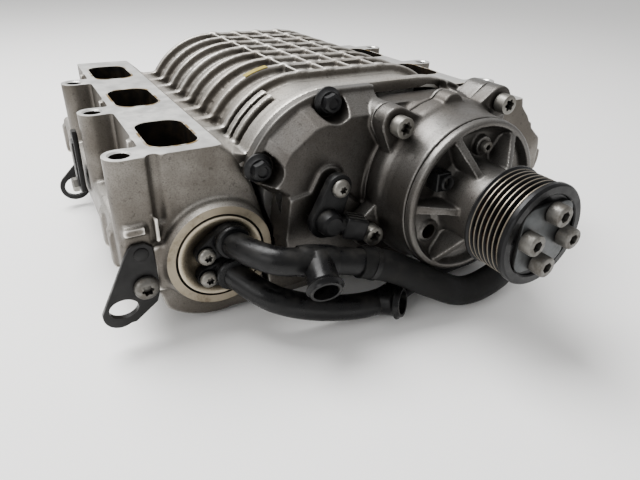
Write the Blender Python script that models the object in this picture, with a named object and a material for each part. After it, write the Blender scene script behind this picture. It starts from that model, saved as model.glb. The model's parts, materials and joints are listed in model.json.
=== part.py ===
"""Roots supercharger module for a V engine, lying on its cover as on a bench.

The intake flanges face up (+Z) and the drive pulley faces the front (-Y).  The
origin is on the base cover's outer face, halfway between the two rotors and
halfway along the banks.  Lengths are written in millimetres and turned to
metres by MM.
"""
import math

import bmesh
import bpy
from mathutils import Matrix, Vector

MM = 0.001
DRIVE_AXIS_PIECES = ("drive_rotor", "drive_timing_gear", "clutch_hub", "pulley", "pulley_shaft",
                     "clutch_armature", "pulley_screw_1", "pulley_screw_2", "pulley_screw_3",
                     "pulley_screw_4")
DRIVEN_AXIS_PIECES = ("driven_rotor", "driven_timing_gear")
BYPASS_PIECES = ("bypass_flap", "bypass_shaft", "bypass_lever")
CLEAR = 0.3                      # gap between any two pieces
OVERCUT = 1.0                    # how far a cutter runs past a face
WELD = 0.001                     # points closer than this are one point

# Intake banks, one on each side of the rotor housing
BANK_LENGTH = 262.0
DECK_HEIGHT = 122.0              # base cover to intake flange face
BANK_FLOOR = 3.5                 # underside of a cooler tube above the bench
FLANGE_INNER_X = 112.0
FLANGE_OUTER_X = 153.0
PORT_X = 132.5
PORT_PITCH = 90.0
PORT_MIDDLE_Y = -6.0
PORT_WIDTH = 30.0
PORT_LENGTH = 50.0
PORT_CORNER = 10.0
BOLT_ROW_X = 165.0
BOLT_TO_PORT_Y = 27.0
COLUMN_RADIUS = 9.5
COLUMN_DEPTH = 48.0
BOLT_HOLE_RADIUS = 5.6
PORT_COUNT = 3

# Charge-air coolers
COOLER_X = 117.0
COOLER_Z = 53.0
COOLER_BORE_RADIUS = 29.8
COOLER_RING_RADIUS = 35.5
COOLER_RING_DEPTH = 9.0
COOLER_REAR_WALL = 14.0
CORE_HALF = 19.0
CAP_DEPTH = 8.0
SEAL_DEPTH = 2.4
SEAL_WIDTH = 2.2

COVER_TO_RING = 2.0              # gear cover's side to a cooler ring
CAP_RECESS_RADIUS = 23.4

# Rotors and their case
ROTOR_SPACING = 72.0
ROTOR_AXIS_Z = 84.0
LOBES = 4
ROTOR_LENGTH = 186.0
ROTOR_TWIST = 120.0
ROTOR_RELIEF = 0.3
TIP_CLEARANCE = 0.4
JOURNAL_RADIUS = 8.5
CASE_WALL = 5.7
RIB_HEIGHT = 4.0
RIB_WIDTH = 5.0
RIB_END_MARGIN = 1.6             # last arch to the rear end of the case
RIB_COUNT = 8
REAR_WALL = 30.0
BEARING_RADIUS = 17.0
BEARING_WIDTH = 9.0
PLATE_THICKNESS = 12.0

# Gear case
GEAR_COVER_LEDGE = 13.9          # how far the cover stands out past the rotor case
GEAR_COVER_FLANGE = 7.0
GEAR_COVER_DEPTH = 22.0
COVER_BOLT_INSET = 6.0           # bolt circle inside the cover's edge
LOW_BOLT_INSET = 7.2             # low bolts inside the cover's straight sides
LOW_BOLT_DROP = 46.5             # low bolts below the rotor axes
GEAR_ROOM = 5.45                 # tooth tips to the gear case's wall
DRIVE_PAD_DEPTH = 25.0
GEAR_TEETH = 24
GEAR_WIDTH = 12.0

# Drive unit
DRIVE_FLANGE_RADIUS = 58.0
DRIVE_FLANGE_THICKNESS = 12.0
DRIVE_LOBE_CIRCLE = 66.0
DRIVE_LOBE_RADIUS = 11.0
DRIVE_LOBES = (134, 52, 200)     # degrees round the drive axis, one for each screw
BARE_LOBE_CIRCLE = 54.0          # the small lobe without a screw
BARE_LOBE_RADIUS = 8.5
BARE_LOBE_DEGREES = 92
DRIVE_BODY_RADIUS = 53.0
DRIVE_BODY_DEPTH = 23.0
DRIVE_WALL = 5.0
NOSE_STEP = 1.8                  # nose rim inside the drive body
NOSE_RIM_DEPTH = 6.0
NOSE_HUB_RADIUS = 25.0
NOSE_HUB_DEPTH = 25.0
NOSE_RIBS = 6
SHAFT_RADIUS = 10.0

# Pulley
PULLEY_CREST_RADIUS = 31.0
PULLEY_FLANGE_RADIUS = 32.2
RIB_PITCH_BELT = 3.56
GROOVE_DEPTH = 2.6
GROOVES = 6
PULLEY_FRONT_WALL = 8.0
PULLEY_GAP = 3.0
PULLEY_SCREW_CIRCLE = 16.0
PULLEY_SCREW_ANGLE = 83.0

# Screws
M8_HEAD_RADIUS = 6.5
M8_HEAD_HEIGHT = 8.0
M8_SHANK_RADIUS = 3.8

# Base cover
COVER_HALF_X = 88.0
COVER_THICKNESS = 6.0

# Rear inlet
INLET_DEPTH = 62.0
INLET_BORE_RADIUS = 35.0
INLET_FLANGE_HALF = 44.0
BYPASS_RADIUS = 17.0
BYPASS_OPEN_DEGREES = 85.0

BYPASS_AXIS_Z = 44.0
BYPASS_AXIS_BEHIND = 26.0        # flap shaft behind the rear joint
BYPASS_DUCT_RADIUS = 8.0
BYPASS_DUCT_Z = 19.0

# Lifting brackets, strap and sensor
BRACKET_THICKNESS = 4.0
BRACKET_TO_RING = 11.1           # front bracket's bolt to the left cooler ring
BRACKET_BOLT_Z = 42.0
BRACKET_EYE = (-178.0, 30.0)
REAR_EYE = (-177.7, 19.5)
REAR_BRACKET_FOOT = (-160.0, 40.0)
REAR_BRACKET_Y = 89.0
SENSOR_PLATE = 6.0
SENSOR_BOSS_HEIGHT = 8.0

# Coolant pipes
PIPE_RADIUS = 8.6
NOZZLE_RADIUS = 10.6
NOZZLE_BEAD_RADIUS = 12.0

bank_front = -BANK_LENGTH / 2
bank_rear = BANK_LENGTH / 2
case_front = bank_front
rotor_x = ROTOR_SPACING / 2
rotor_tip = rotor_x * (1 + 1 / LOBES)
case_bore = rotor_tip + TIP_CLEARANCE
case_outer = case_bore + CASE_WALL
rib_outer = case_outer + RIB_HEIGHT
rib_start = case_front + 43.5
cover_gap_x = COOLER_X - COOLER_RING_RADIUS - COVER_TO_RING
gear_cover_radius = case_outer + GEAR_COVER_LEDGE
cover_bolt_circle = gear_cover_radius - COVER_BOLT_INSET
gear_module = 2 * rotor_x / GEAR_TEETH
gear_tip = rotor_x + 0.85 * gear_module
gear_case_radius = gear_tip + GEAR_ROOM
nose_rim_radius = DRIVE_BODY_RADIUS - NOSE_STEP
bracket_bolt = (-(COOLER_X + COOLER_RING_RADIUS + BRACKET_TO_RING), BRACKET_BOLT_Z)
rotor_front = case_front + PLATE_THICKNESS + 2 * CLEAR
rotor_rear = rotor_front + ROTOR_LENGTH
case_rear = rotor_rear + REAR_WALL
rib_pitch = (case_rear - RIB_END_MARGIN - RIB_WIDTH - rib_start) / (RIB_COUNT - 1)
port_ys = [PORT_MIDDLE_Y + (i - 1) * PORT_PITCH for i in range(PORT_COUNT)]
drive_pad_y = case_front - DRIVE_PAD_DEPTH
drive_flange_y = drive_pad_y - DRIVE_FLANGE_THICKNESS
drive_seam_y = drive_flange_y - DRIVE_BODY_DEPTH
nose_face_y = drive_seam_y - NOSE_RIM_DEPTH
nose_front_y = nose_face_y - NOSE_HUB_DEPTH + PULLEY_GAP
pulley_rear_y = nose_front_y - PULLEY_GAP
pulley_length = (GROOVES + 1) * RIB_PITCH_BELT + 5.0
pulley_front_y = pulley_rear_y - pulley_length


def material(name, colour, roughness, metallic):
    """Return a Principled material."""
    made = bpy.data.materials.new(name)
    made.use_nodes = True
    shader = made.node_tree.nodes["Principled BSDF"]
    shader.inputs["Base Color"].default_value = (*colour, 1.0)
    shader.inputs["Roughness"].default_value = roughness
    shader.inputs["Metallic"].default_value = metallic
    made.diffuse_color = (*colour, 1.0)
    return made


def finish_mesh(name, shape, finish=None):
    """Turn a bmesh into an object, still in millimetres."""
    bmesh.ops.remove_doubles(shape, verts=shape.verts, dist=WELD)
    bmesh.ops.recalc_face_normals(shape, faces=shape.faces)
    mesh = bpy.data.meshes.new(name)
    shape.to_mesh(mesh)
    shape.free()
    made = bpy.data.objects.new(name, mesh)
    bpy.context.scene.collection.objects.link(made)
    if finish is not None:
        mesh.materials.append(finish)
    return made


def place(axis, u, v, along):
    """A point from outline coordinates and a distance along an axis."""
    if axis == "X":
        return Vector((along, u, v))
    if axis == "Y":
        return Vector((u, along, v))
    return Vector((u, v, along))


def prism(name, outline, start, end, axis="Y", finish=None):
    """Extrude a closed outline along an axis, from start to end."""
    shape = bmesh.new()
    ring = [shape.verts.new(place(axis, u, v, start)) for u, v in outline]
    face = shape.faces.new(ring)
    grown = bmesh.ops.extrude_face_region(shape, geom=[face])
    moved = [g for g in grown["geom"] if isinstance(g, bmesh.types.BMVert)]
    bmesh.ops.translate(shape, vec=place(axis, 0, 0, end - start), verts=moved)
    return finish_mesh(name, shape, finish)


def block(name, low, high, finish=None):
    """A box between two corners."""
    outline = [(low[0], low[1]), (high[0], low[1]), (high[0], high[1]), (low[0], high[1])]
    return prism(name, outline, low[2], high[2], "Z", finish)


def turned(name, profile, centre, axis="Y", steps=32, finish=None):
    """Spin a closed profile of (radius, distance along the axis) points."""
    shape = bmesh.new()
    points = [shape.verts.new(place("Y", radius, 0, along)) for radius, along in profile]
    edges = []
    for a, b in zip(points, points[1:] + points[:1]):
        if a.co.x > 0 or b.co.x > 0:
            edges.append(shape.edges.new((a, b)))
    bmesh.ops.spin(shape, geom=points + edges, cent=(0, 0, 0), axis=(0, 1, 0), dvec=(0, 0, 0),
                   angle=math.tau, steps=steps, use_merge=True)
    turns = {"X": Matrix.Rotation(-math.pi / 2, 4, "Z"),
             "Y": Matrix.Identity(4),
             "Z": Matrix.Rotation(math.pi / 2, 4, "X")}
    bmesh.ops.transform(shape, matrix=Matrix.Translation(centre) @ turns[axis], verts=shape.verts)
    return finish_mesh(name, shape, finish)


def rod(name, radius, centre, start, end, axis="Y", steps=24, finish=None):
    """A plain cylinder between two distances along its axis."""
    profile = [(0, start), (radius, start), (radius, end), (0, end)]
    return turned(name, profile, centre, axis, steps, finish)


def ring(name, inner, outer, centre, start, end, axis="Y", steps=20, finish=None):
    """A tube between two distances along its axis."""
    profile = [(inner, start), (outer, start), (outer, end), (inner, end)]
    return turned(name, profile, centre, axis, steps, finish)


def combine(target, tools, operation):
    """Boolean the tools into the target and delete them."""
    for tool in tools:
        step = target.modifiers.new(operation, "BOOLEAN")
        step.object = tool
        step.operation = operation
        step.solver = "EXACT"
        graph = bpy.context.evaluated_depsgraph_get()
        mesh = bpy.data.meshes.new_from_object(target.evaluated_get(graph))
        target.modifiers.clear()
        target.data = mesh
        bpy.data.objects.remove(tool)
        tidy = bmesh.new()
        tidy.from_mesh(mesh)
        bmesh.ops.remove_doubles(tidy, verts=tidy.verts, dist=WELD)
        bmesh.ops.dissolve_degenerate(tidy, edges=tidy.edges, dist=WELD)
        tidy.to_mesh(mesh)
        tidy.free()
    return target


def unite(target, *tools):
    return combine(target, tools, "UNION")


def cut(target, *tools):
    return combine(target, tools, "DIFFERENCE")


def arc(centre, radius, first, last, steps):
    """Points on an arc, angles in degrees from +X towards the second axis."""
    points = []
    for i in range(steps + 1):
        angle = math.radians(first + (last - first) * i / steps)
        points.append((centre[0] + radius * math.cos(angle), centre[1] + radius * math.sin(angle)))
    return points


def rounded_box(centre, half_u, half_v, radius, steps=3):
    """Outline of a rectangle with round corners."""
    points = []
    for quarter, (su, sv) in enumerate(((1, 1), (-1, 1), (-1, -1), (1, -1))):
        corner = (centre[0] + su * (half_u - radius), centre[1] + sv * (half_v - radius))
        points += arc(corner, radius, 90 * quarter, 90 * quarter + 90, steps)
    return points


def capsule(first, first_radius, last, last_radius, steps=10):
    """Outline round two circles of different size, as a lug or lever has."""
    run = Vector(last) - Vector(first)
    heading = math.degrees(math.atan2(run.y, run.x))
    lean = math.degrees(math.acos((first_radius - last_radius) / run.length))
    points = arc(first, first_radius, heading + lean, heading + 360 - lean, steps)
    points += arc(last, last_radius, heading - lean, heading + lean, steps)
    return points


def polar(centre, radius, degrees):
    angle = math.radians(degrees)
    return centre[0] + radius * math.cos(angle), centre[1] + radius * math.sin(angle)


def pipe(name, points, radius, finish=None, resolution=2):
    """A round solid bar along a smooth route."""
    curve = bpy.data.curves.new(name, "CURVE")
    curve.dimensions = "3D"
    curve.bevel_depth = radius
    curve.bevel_resolution = resolution
    curve.use_fill_caps = True
    line = curve.splines.new("POLY")
    route = smooth_route(points)
    line.points.add(len(route) - 1)
    for spot, point in zip(line.points, route):
        spot.co = (*point, 1.0)
    source = bpy.data.objects.new(name, curve)
    bpy.context.scene.collection.objects.link(source)
    graph = bpy.context.evaluated_depsgraph_get()
    mesh = bpy.data.meshes.new_from_object(source.evaluated_get(graph))
    bpy.data.objects.remove(source)
    shape = bmesh.new()
    shape.from_mesh(mesh)
    return finish_mesh(name, shape, finish)


def smooth_route(points, per_span=3):
    """Catmull-Rom points through a short list of route points."""
    knots = [Vector(p) for p in points]
    knots = [2 * knots[0] - knots[1]] + knots + [2 * knots[-1] - knots[-2]]
    route = []
    for i in range(1, len(knots) - 2):
        before, here, there, after = knots[i - 1:i + 3]
        for step in range(per_span):
            t = step / per_span
            route.append(0.5 * (2 * here + (there - before) * t
                                + (2 * before - 5 * here + 4 * there - after) * t ** 2
                                + (3 * here - before - 3 * there + after) * t ** 3))
    route.append(knots[-2])
    return route


def bank_outline(side):
    """Cross-section of one intake bank, seen along Y.

    The left bank has a ledge under its bolt columns, the right one slopes out.
    """
    deck = DECK_HEIGHT
    ledge = deck - COLUMN_DEPTH
    tube_bottom = arc((COOLER_X, COOLER_Z), COOLER_Z - BANK_FLOOR, -45, -100, 5)
    inner = [(COVER_HALF_X + 3, BANK_FLOOR), (COVER_HALF_X + 1, COVER_THICKNESS + CLEAR),
             (70, COVER_THICKNESS + CLEAR), (79, 50), (84, 71), (91, 94), (100, deck - 8),
             (FLANGE_INNER_X, deck)]
    if side < 0:
        outer = [(FLANGE_OUTER_X, deck), (FLANGE_OUTER_X, ledge + 3), (172, ledge),
                 (174, ledge - 26), (158, ledge - 32)]
    else:
        outer = [(FLANGE_OUTER_X - 4, deck), (FLANGE_OUTER_X, deck - 12), (163, ledge + 20),
                 (168, ledge + 2), (180, ledge - 6), (180, ledge - 26), (162, ledge - 34)]
    return [(side * x, z) for x, z in outer + tube_bottom + inner]


def bolt_ys(side):
    """Bolts stand in front of the ports on the left and behind them on the right."""
    return [y + side * BOLT_TO_PORT_Y for y in port_ys]


def stadium(radius, steps=20):
    """Outline of constant distance round both rotor axes."""
    points = arc((rotor_x, ROTOR_AXIS_Z), radius, -90, 90, steps)
    points += arc((-rotor_x, ROTOR_AXIS_Z), radius, 90, 270, steps)
    return points


def gear_outline(radius, side_x):
    """Gear case outline: round at the top, narrow between the cooler rings."""
    half = arc((rotor_x, ROTOR_AXIS_Z), radius, 16, 90, 8)
    low = [(rotor_x, ROTOR_AXIS_Z - radius), (rotor_x + 26, ROTOR_AXIS_Z - radius + 10),
           (side_x, ROTOR_AXIS_Z - 30), (side_x, ROTOR_AXIS_Z + 2)]
    right = low + half
    return right + [(-x, z) for x, z in reversed(right)]


def make_housing(finish):
    """The main casting: rotor case, two banks with cooler tubes, port flanges."""
    floor = COVER_THICKNESS + CLEAR
    skirt = [(-82, floor), (82, floor), (90, 100), (70, 110), (-70, 110), (-90, 100)]
    housing = prism("main_housing", skirt, case_front, case_rear, "Y", finish)
    for side in (-1, 1):
        unite(housing, prism("bank", bank_outline(side), bank_front, bank_rear))
        column_floor = DECK_HEIGHT - COLUMN_DEPTH - 2
        for y in bolt_ys(side):
            centre = (side * BOLT_ROW_X, y)
            root = (side * (FLANGE_OUTER_X - 10), y)
            outline = capsule(root, COLUMN_RADIUS + 2, centre, COLUMN_RADIUS, 8)
            unite(housing, prism("column", outline, column_floor, DECK_HEIGHT, "Z"))
        web = [(side * 60, 106), (side * 60, 114), (side * 108, 116), (side * 108, 100)]
        unite(housing, prism("web", web, case_front, case_rear + 8))
        face = bank_front - COOLER_RING_DEPTH
        profile = [(0, face), (COOLER_RING_RADIUS - 2, face), (COOLER_RING_RADIUS, face + 2),
                   (COOLER_RING_RADIUS + 0.8, bank_front + 4), (0, bank_front + 4)]
        unite(housing, turned("tube_ring", profile, (side * COOLER_X, 0, COOLER_Z), steps=24))
    unite(housing, prism("case", stadium(case_outer, 14), case_front, case_rear))
    flange = gear_outline(gear_cover_radius, cover_gap_x)
    unite(housing, prism("case_flange", flange, case_front, case_front + 9))
    lug = capsule((-158, 54), 9, bracket_bolt, 10, 6)
    unite(housing, prism("bracket_lug", lug, bank_front, bank_front + 14))
    rear_lug = capsule((-150, 48), 8, REAR_BRACKET_FOOT, 10, 6)
    rear_seat = REAR_BRACKET_Y + BRACKET_THICKNESS + CLEAR
    gap = block("rear_bracket_gap", (-200, REAR_BRACKET_Y - 12, 0), (-146, rear_seat, 74))
    cut(housing, gap)
    unite(housing, prism("rear_bracket_lug", rear_lug, rear_seat, rear_seat + 14))
    for index in range(RIB_COUNT):
        y = rib_start + index * rib_pitch
        unite(housing, prism("arch", stadium(rib_outer, 14), y, y + RIB_WIDTH))
    carve_lattice(housing)
    carve_air_path(housing)
    pocket = block("side_pocket", (58, case_front + 12, 86), (104, case_front + 58, 130))
    keep = rod("case_side", case_outer, (rotor_x, 0, ROTOR_AXIS_Z), case_front, case_rear, steps=32)
    cut(pocket, keep)
    cut(housing, pocket)
    cut(housing, rod("bracket_tap", M8_SHANK_RADIUS + CLEAR, (bracket_bolt[0], 0, bracket_bolt[1]),
                     bank_front - OVERCUT, bank_front + 12, steps=10))
    cut(housing, rod("rear_bracket_tap", M8_SHANK_RADIUS + CLEAR,
                     (REAR_BRACKET_FOOT[0], 0, REAR_BRACKET_FOOT[1]),
                     rear_seat - OVERCUT, rear_seat + 11, steps=10))
    cut(housing, rod("bypass_duct", BYPASS_DUCT_RADIUS, (0, 0, BYPASS_DUCT_Z), case_rear - 16,
                     case_rear + OVERCUT, steps=20))
    return housing


def carve_lattice(housing):
    """A grid of ribs over the flat between the two rotor crests."""
    columns = 3
    pocket_x = 18.0
    rib = 4.0
    start_x = -(columns * pocket_x + (columns - 1) * rib) / 2
    top = ROTOR_AXIS_Z + rib_outer
    land = prism("land", [(-33, top - 8), (33, top - 8), (33, top), (-33, top)],
                 rib_start, rib_start + (RIB_COUNT - 1) * rib_pitch + RIB_WIDTH)
    unite(housing, land)
    for row in range(RIB_COUNT - 1):
        y = rib_start + RIB_WIDTH + row * rib_pitch
        for column in range(columns):
            x = start_x + column * (pocket_x + rib)
            low = (x, y + 0.5, top - 4.5)
            high = (x + pocket_x, y + rib_pitch - RIB_WIDTH - 0.5, top + OVERCUT)
            cut(housing, block("pocket", low, high))


def carve_air_path(housing):
    """Rotor bores, discharge window, plenum, cooler tubes and intake ports."""
    bore_front = case_front - OVERCUT
    for side in (-1, 1):
        centre = (side * rotor_x, 0, ROTOR_AXIS_Z)
        cut(housing, rod("bore", case_bore, centre, bore_front, rotor_rear + CLEAR, steps=32))
        seat_end = rotor_rear + CLEAR + BEARING_WIDTH + 4
        cut(housing, rod("seat", BEARING_RADIUS + 2 * CLEAR, centre, rotor_rear - 1, seat_end, steps=20))
    cut(housing, prism("plate_recess", stadium(case_bore + 2.4, 14), bore_front,
                       case_front + PLATE_THICKNESS + CLEAR))
    plenum_front = case_front + 16
    plenum_rear = case_rear - 14
    plenum_roof = ROTOR_AXIS_Z - case_outer - 2
    cut(housing, block("plenum", (-70, plenum_front, -OVERCUT), (70, plenum_rear, plenum_roof)))
    window_rear = rotor_front + 0.55 * ROTOR_LENGTH
    cut(housing, block("discharge", (-22, plenum_front, plenum_roof - 5),
                       (22, window_rear, ROTOR_AXIS_Z - 20)))
    inlet_low = ROTOR_AXIS_Z + BEARING_RADIUS + 2
    cut(housing, block("inlet_port", (-26, rotor_rear - 1, inlet_low),
                       (26, case_rear + 9, inlet_low + 22)))
    for side in (-1, 1):
        centre = (side * COOLER_X, 0, COOLER_Z)
        tube_front = bank_front - COOLER_RING_DEPTH - OVERCUT
        tube_rear = bank_rear - COOLER_REAR_WALL
        cut(housing, rod("tube", COOLER_BORE_RADIUS, centre, tube_front, tube_rear, steps=24))
        near, far = sorted((side * 62, side * 100))
        cut(housing, block("crossover", (near, plenum_front, 14), (far, plenum_rear, 29)))
        for y in port_ys:
            outline = rounded_box((side * PORT_X, y), PORT_WIDTH / 2, PORT_LENGTH / 2, PORT_CORNER)
            cut(housing, prism("port", outline, COOLER_Z + 14, DECK_HEIGHT + OVERCUT, "Z"))
        for y in bolt_ys(side):
            hole_floor = DECK_HEIGHT - COLUMN_DEPTH + 4
            cut(housing, rod("hole", BOLT_HOLE_RADIUS, (side * BOLT_ROW_X, y, 0),
                             hole_floor, DECK_HEIGHT + OVERCUT, "Z", 12))


def make_base_cover(finish):
    """The cover that closes the plenum, and stands on the bench."""
    outline = rounded_box((0, (case_front + case_rear) / 2), COVER_HALF_X,
                          (case_rear - case_front) / 2 - 3, 14)
    return prism("base_cover", outline, 0, COVER_THICKNESS, "Z", finish)


def make_rear_inlet(finish):
    """Air inlet with the bypass passage that joins it from below."""
    joint = case_rear + CLEAR
    rear = joint + INLET_DEPTH
    flange = rounded_box((0, (BYPASS_DUCT_Z + 118) / 2 - 2), 56, 62, 12)
    inlet = prism("rear_inlet_housing", flange, joint, joint + 8, "Y", finish)
    centre = (0, 0, ROTOR_AXIS_Z)
    unite(inlet, rod("duct", INLET_BORE_RADIUS + 5, centre, joint + 1, rear - 1, steps=24))
    end = rounded_box((0, ROTOR_AXIS_Z), INLET_FLANGE_HALF, INLET_FLANGE_HALF, 10)
    unite(inlet, prism("end_flange", end, rear - 9, rear))
    middle = joint + BYPASS_AXIS_BEHIND
    bottom = BYPASS_DUCT_Z - BYPASS_DUCT_RADIUS - 3.5
    unite(inlet, rod("bypass_boss", BYPASS_RADIUS + 4.5, (0, middle, 0), bottom, ROTOR_AXIS_Z - 10, "Z"))
    unite(inlet, block("bypass_floor", (-13, joint + 1, bottom), (13, middle, BYPASS_DUCT_Z + 12)))
    unite(inlet, rod("shaft_boss", 7.5, (0, middle, BYPASS_AXIS_Z), -26, 26, "X", 16))
    cut(inlet, rod("bore", INLET_BORE_RADIUS, centre, joint + 8, rear + OVERCUT, steps=24))
    low = ROTOR_AXIS_Z + BEARING_RADIUS + 2
    cut(inlet, block("port", (-26, joint - OVERCUT, low), (26, joint + 10, low + 15)))
    cut(inlet, rod("bypass_bore", BYPASS_RADIUS, (0, middle, 0), bottom + 4, ROTOR_AXIS_Z, "Z"))
    cut(inlet, rod("bypass_duct", BYPASS_DUCT_RADIUS, (0, 0, BYPASS_DUCT_Z), joint - OVERCUT, middle,
                   steps=20))
    cut(inlet, rod("shaft_bore", 3 + CLEAR, (0, middle, BYPASS_AXIS_Z), -40, 40, "X", 16))
    for x in (-1, 1):
        for z in (-1, 1):
            spot = (x * (INLET_FLANGE_HALF - 8), 0, ROTOR_AXIS_Z + z * (INLET_FLANGE_HALF - 8))
            cut(inlet, rod("stud_hole", 3.4, spot, rear - 12, rear + OVERCUT, steps=10))
    return inlet


def make_bypass(steel, brass, plastic):
    """Butterfly flap that shuts at rest, its shaft, lever and actuator."""
    middle = case_rear + CLEAR + BYPASS_AXIS_BEHIND
    axis = (0, middle, BYPASS_AXIS_Z)
    rod("bypass_shaft", 3.0, axis, -38, 29, "X", 16, steel)
    flap = rod("bypass_flap", BYPASS_RADIUS - 0.5, (0, middle, 0), BYPASS_AXIS_Z - 1.2,
               BYPASS_AXIS_Z + 1.2, "Z", 24, brass)
    unite(flap, rod("hub", 4.6, axis, -14, 14, "X", 16))
    cut(flap, rod("hub_bore", 3.0 + CLEAR, axis, -20, 20, "X", 16))
    lever = capsule((middle, BYPASS_AXIS_Z), 7, (middle + 1, BYPASS_AXIS_Z - 20), 4.5, 8)
    lever = prism("bypass_lever", lever, -33, -29, "X", steel)
    cut(lever, rod("lever_bore", 3.0 + CLEAR, axis, -40, -20, "X", 16))
    actuator = block("bypass_actuator", (26.6, middle - 17, BYPASS_AXIS_Z - 24),
                     (54, middle + 18, BYPASS_AXIS_Z + 7), plastic)
    cut(actuator, rod("drive_bore", 3.0 + CLEAR, axis, 20, 31, "X", 16))
    unite(actuator, rod("motor", 13, (0, middle, BYPASS_AXIS_Z - 9), 53, 66, "X", 20))
    low = BYPASS_AXIS_Z - 36
    unite(actuator, block("socket", (34, middle - 8, low), (52, middle + 8, low + 14)))
    cut(actuator, block("socket_mouth", (36.5, middle - 5.5, low - OVERCUT),
                        (49.5, middle + 5.5, low + 9)))


def make_brackets(black, steel, plastic):
    """Front and rear lifting brackets, the harness strap and their bolts."""
    rear_face = bank_front - CLEAR
    front_face = rear_face - BRACKET_THICKNESS
    outline = [(-170.5, 69), (-168, 71.3), (-161, 71.5), (-156.5, 68), (-155.6, 55), (-155.6, 36),
               (-158, 29), (-172, 18.5)]
    outline += arc((-180.5, 27.0), 10.0, -60, -190, 8)
    plate = prism("lifting_bracket_front", outline, front_face, rear_face, "Y", black)
    eye = [(BRACKET_EYE[0] + 8.6 * math.cos(math.tau * i / 20), BRACKET_EYE[1]
            + 6.6 * math.sin(math.tau * i / 20)) for i in range(20)]
    cut(plate, prism("eye", eye, front_face - OVERCUT, rear_face + OVERCUT))
    cut(plate, rod("hole", M8_SHANK_RADIUS + CLEAR, (bracket_bolt[0], 0, bracket_bolt[1]),
                   front_face - OVERCUT, rear_face + OVERCUT, steps=12))
    cut(plate, rod("pin_hole", 4.0, (-164.0, 0, 65.0), front_face - OVERCUT, front_face + 2.5, steps=12))
    screw("bracket_bolt_front", bracket_bolt, front_face, 13, steel, head_radius=8.2, head_height=5.5)
    seat = REAR_BRACKET_Y + BRACKET_THICKNESS
    rear = prism("lifting_bracket_rear", capsule(REAR_EYE, 13, REAR_BRACKET_FOOT, 11, 10),
                 REAR_BRACKET_Y, seat, "Y", black)
    cut(rear, rod("eye", 9, (REAR_EYE[0], 0, REAR_EYE[1]), REAR_BRACKET_Y - OVERCUT, seat + OVERCUT,
                  steps=20))
    cut(rear, rod("hole", M8_SHANK_RADIUS + CLEAR, (REAR_BRACKET_FOOT[0], 0, REAR_BRACKET_FOOT[1]),
                  REAR_BRACKET_Y - OVERCUT, seat + OVERCUT, steps=12))
    screw("bracket_bolt_rear", REAR_BRACKET_FOOT, REAR_BRACKET_Y, 12, steel, head_radius=8.2,
          head_height=5.5)
    wall = -174 - CLEAR - 2
    strap = [(-16, 58), (2, 52), (6, 58), (4, 66), (-17, 106), (-27, 108), (-28, 98)]
    strap = prism("harness_strap", strap, wall - 3.5, wall, "X", plastic)
    cut(strap, rod("hole", 3.4, (0, -6, 61), wall - 5, wall + OVERCUT, "X", 12))
    head = [(0, 5.2), (5.0, 5.2), (5.5, 4.6), (5.5, CLEAR), (3.0, CLEAR), (3.0, -4.8), (0, -4.8)]
    turned("strap_bolt", [(r, -a) for r, a in head], (wall - 3.5, -6, 61), "X", 6, steel)


def make_sensor(plastic, steel):
    """Pressure sensor on the gear cover, with its screw."""
    boss_face = case_front - CLEAR - GEAR_COVER_DEPTH - SENSOR_BOSS_HEIGHT
    seat = boss_face - CLEAR
    low, high = sensor_ends()
    sensor = prism("pressure_sensor", capsule(low, 10.4, high, 8.4), seat - SENSOR_PLATE, seat, "Y",
                   plastic)
    unite(sensor, prism("body", rounded_box((low[0] + 1, low[1] + 2), 7.5, 7.5, 3), seat - 15,
                        seat - SENSOR_PLATE + 1))
    start = (low[0] + 2, seat - 10, low[1] + 2)
    connector = pipe("connector", [start, (low[0] + 24, seat - 12, low[1] - 4)], 5.6)
    unite(sensor, connector)
    unite(sensor, rod("probe", 5, (low[0], 0, low[1]), seat - 2, seat + 7, steps=12))
    cut(sensor, rod("hole", 2.8, (high[0], 0, high[1]), seat - 8, seat + OVERCUT, steps=12))
    screw("sensor_screw", high, seat - SENSOR_PLATE, SENSOR_PLATE - 0.5, steel, head_radius=5.8,
          head_height=3.6, shank=2.5, recess=2.4)


def make_clutch_connector(plastic):
    """Wiring socket of the clutch coil, standing in the nose's dish."""
    spot = polar((rotor_x, ROTOR_AXIS_Z), 36.2, 149)
    dish = nose_face_y + 9 - CLEAR
    outline = rounded_box(spot, 5.4, 6.0, 1.5, 2)
    socket = prism("clutch_connector", outline, dish - 12, dish, "Y", plastic)
    mouth = rounded_box(spot, 4.0, 4.6, 1, 2)
    cut(socket, prism("mouth", mouth, dish - 13, dish - 5))


def rotor_profile(steps_per_lobe):
    """Cycloidal lobe section: epicycloid tips and hypocycloid roots."""
    pitch = rotor_x
    rolling = pitch / (2 * LOBES)
    points = []
    half = steps_per_lobe // 2
    for lobe in range(LOBES):
        for i in range(half):
            t = 2 * math.pi * rolling / pitch * i / half
            base = 2 * math.pi * lobe / LOBES - math.pi * rolling / pitch + t
            swing = (pitch + rolling) / rolling * t + base - t
            x = (pitch + rolling) * math.cos(base) - rolling * math.cos(swing)
            y = (pitch + rolling) * math.sin(base) - rolling * math.sin(swing)
            points.append((x, y))
        for i in range(half):
            t = 2 * math.pi * rolling / pitch * i / half
            start = 2 * math.pi * lobe / LOBES + math.pi * rolling / pitch
            base = start + t
            swing = start - (pitch - rolling) / rolling * t
            x = (pitch - rolling) * math.cos(base) + rolling * math.cos(swing)
            y = (pitch - rolling) * math.sin(base) + rolling * math.sin(swing)
            points.append((x, y))
    relieved = []
    for i, (x, y) in enumerate(points):
        ahead = points[(i + 1) % len(points)]
        behind = points[i - 1]
        run = Vector((ahead[0] - behind[0], ahead[1] - behind[1])).normalized()
        relieved.append((x - ROTOR_RELIEF * run.y, y + ROTOR_RELIEF * run.x))
    return relieved


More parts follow.
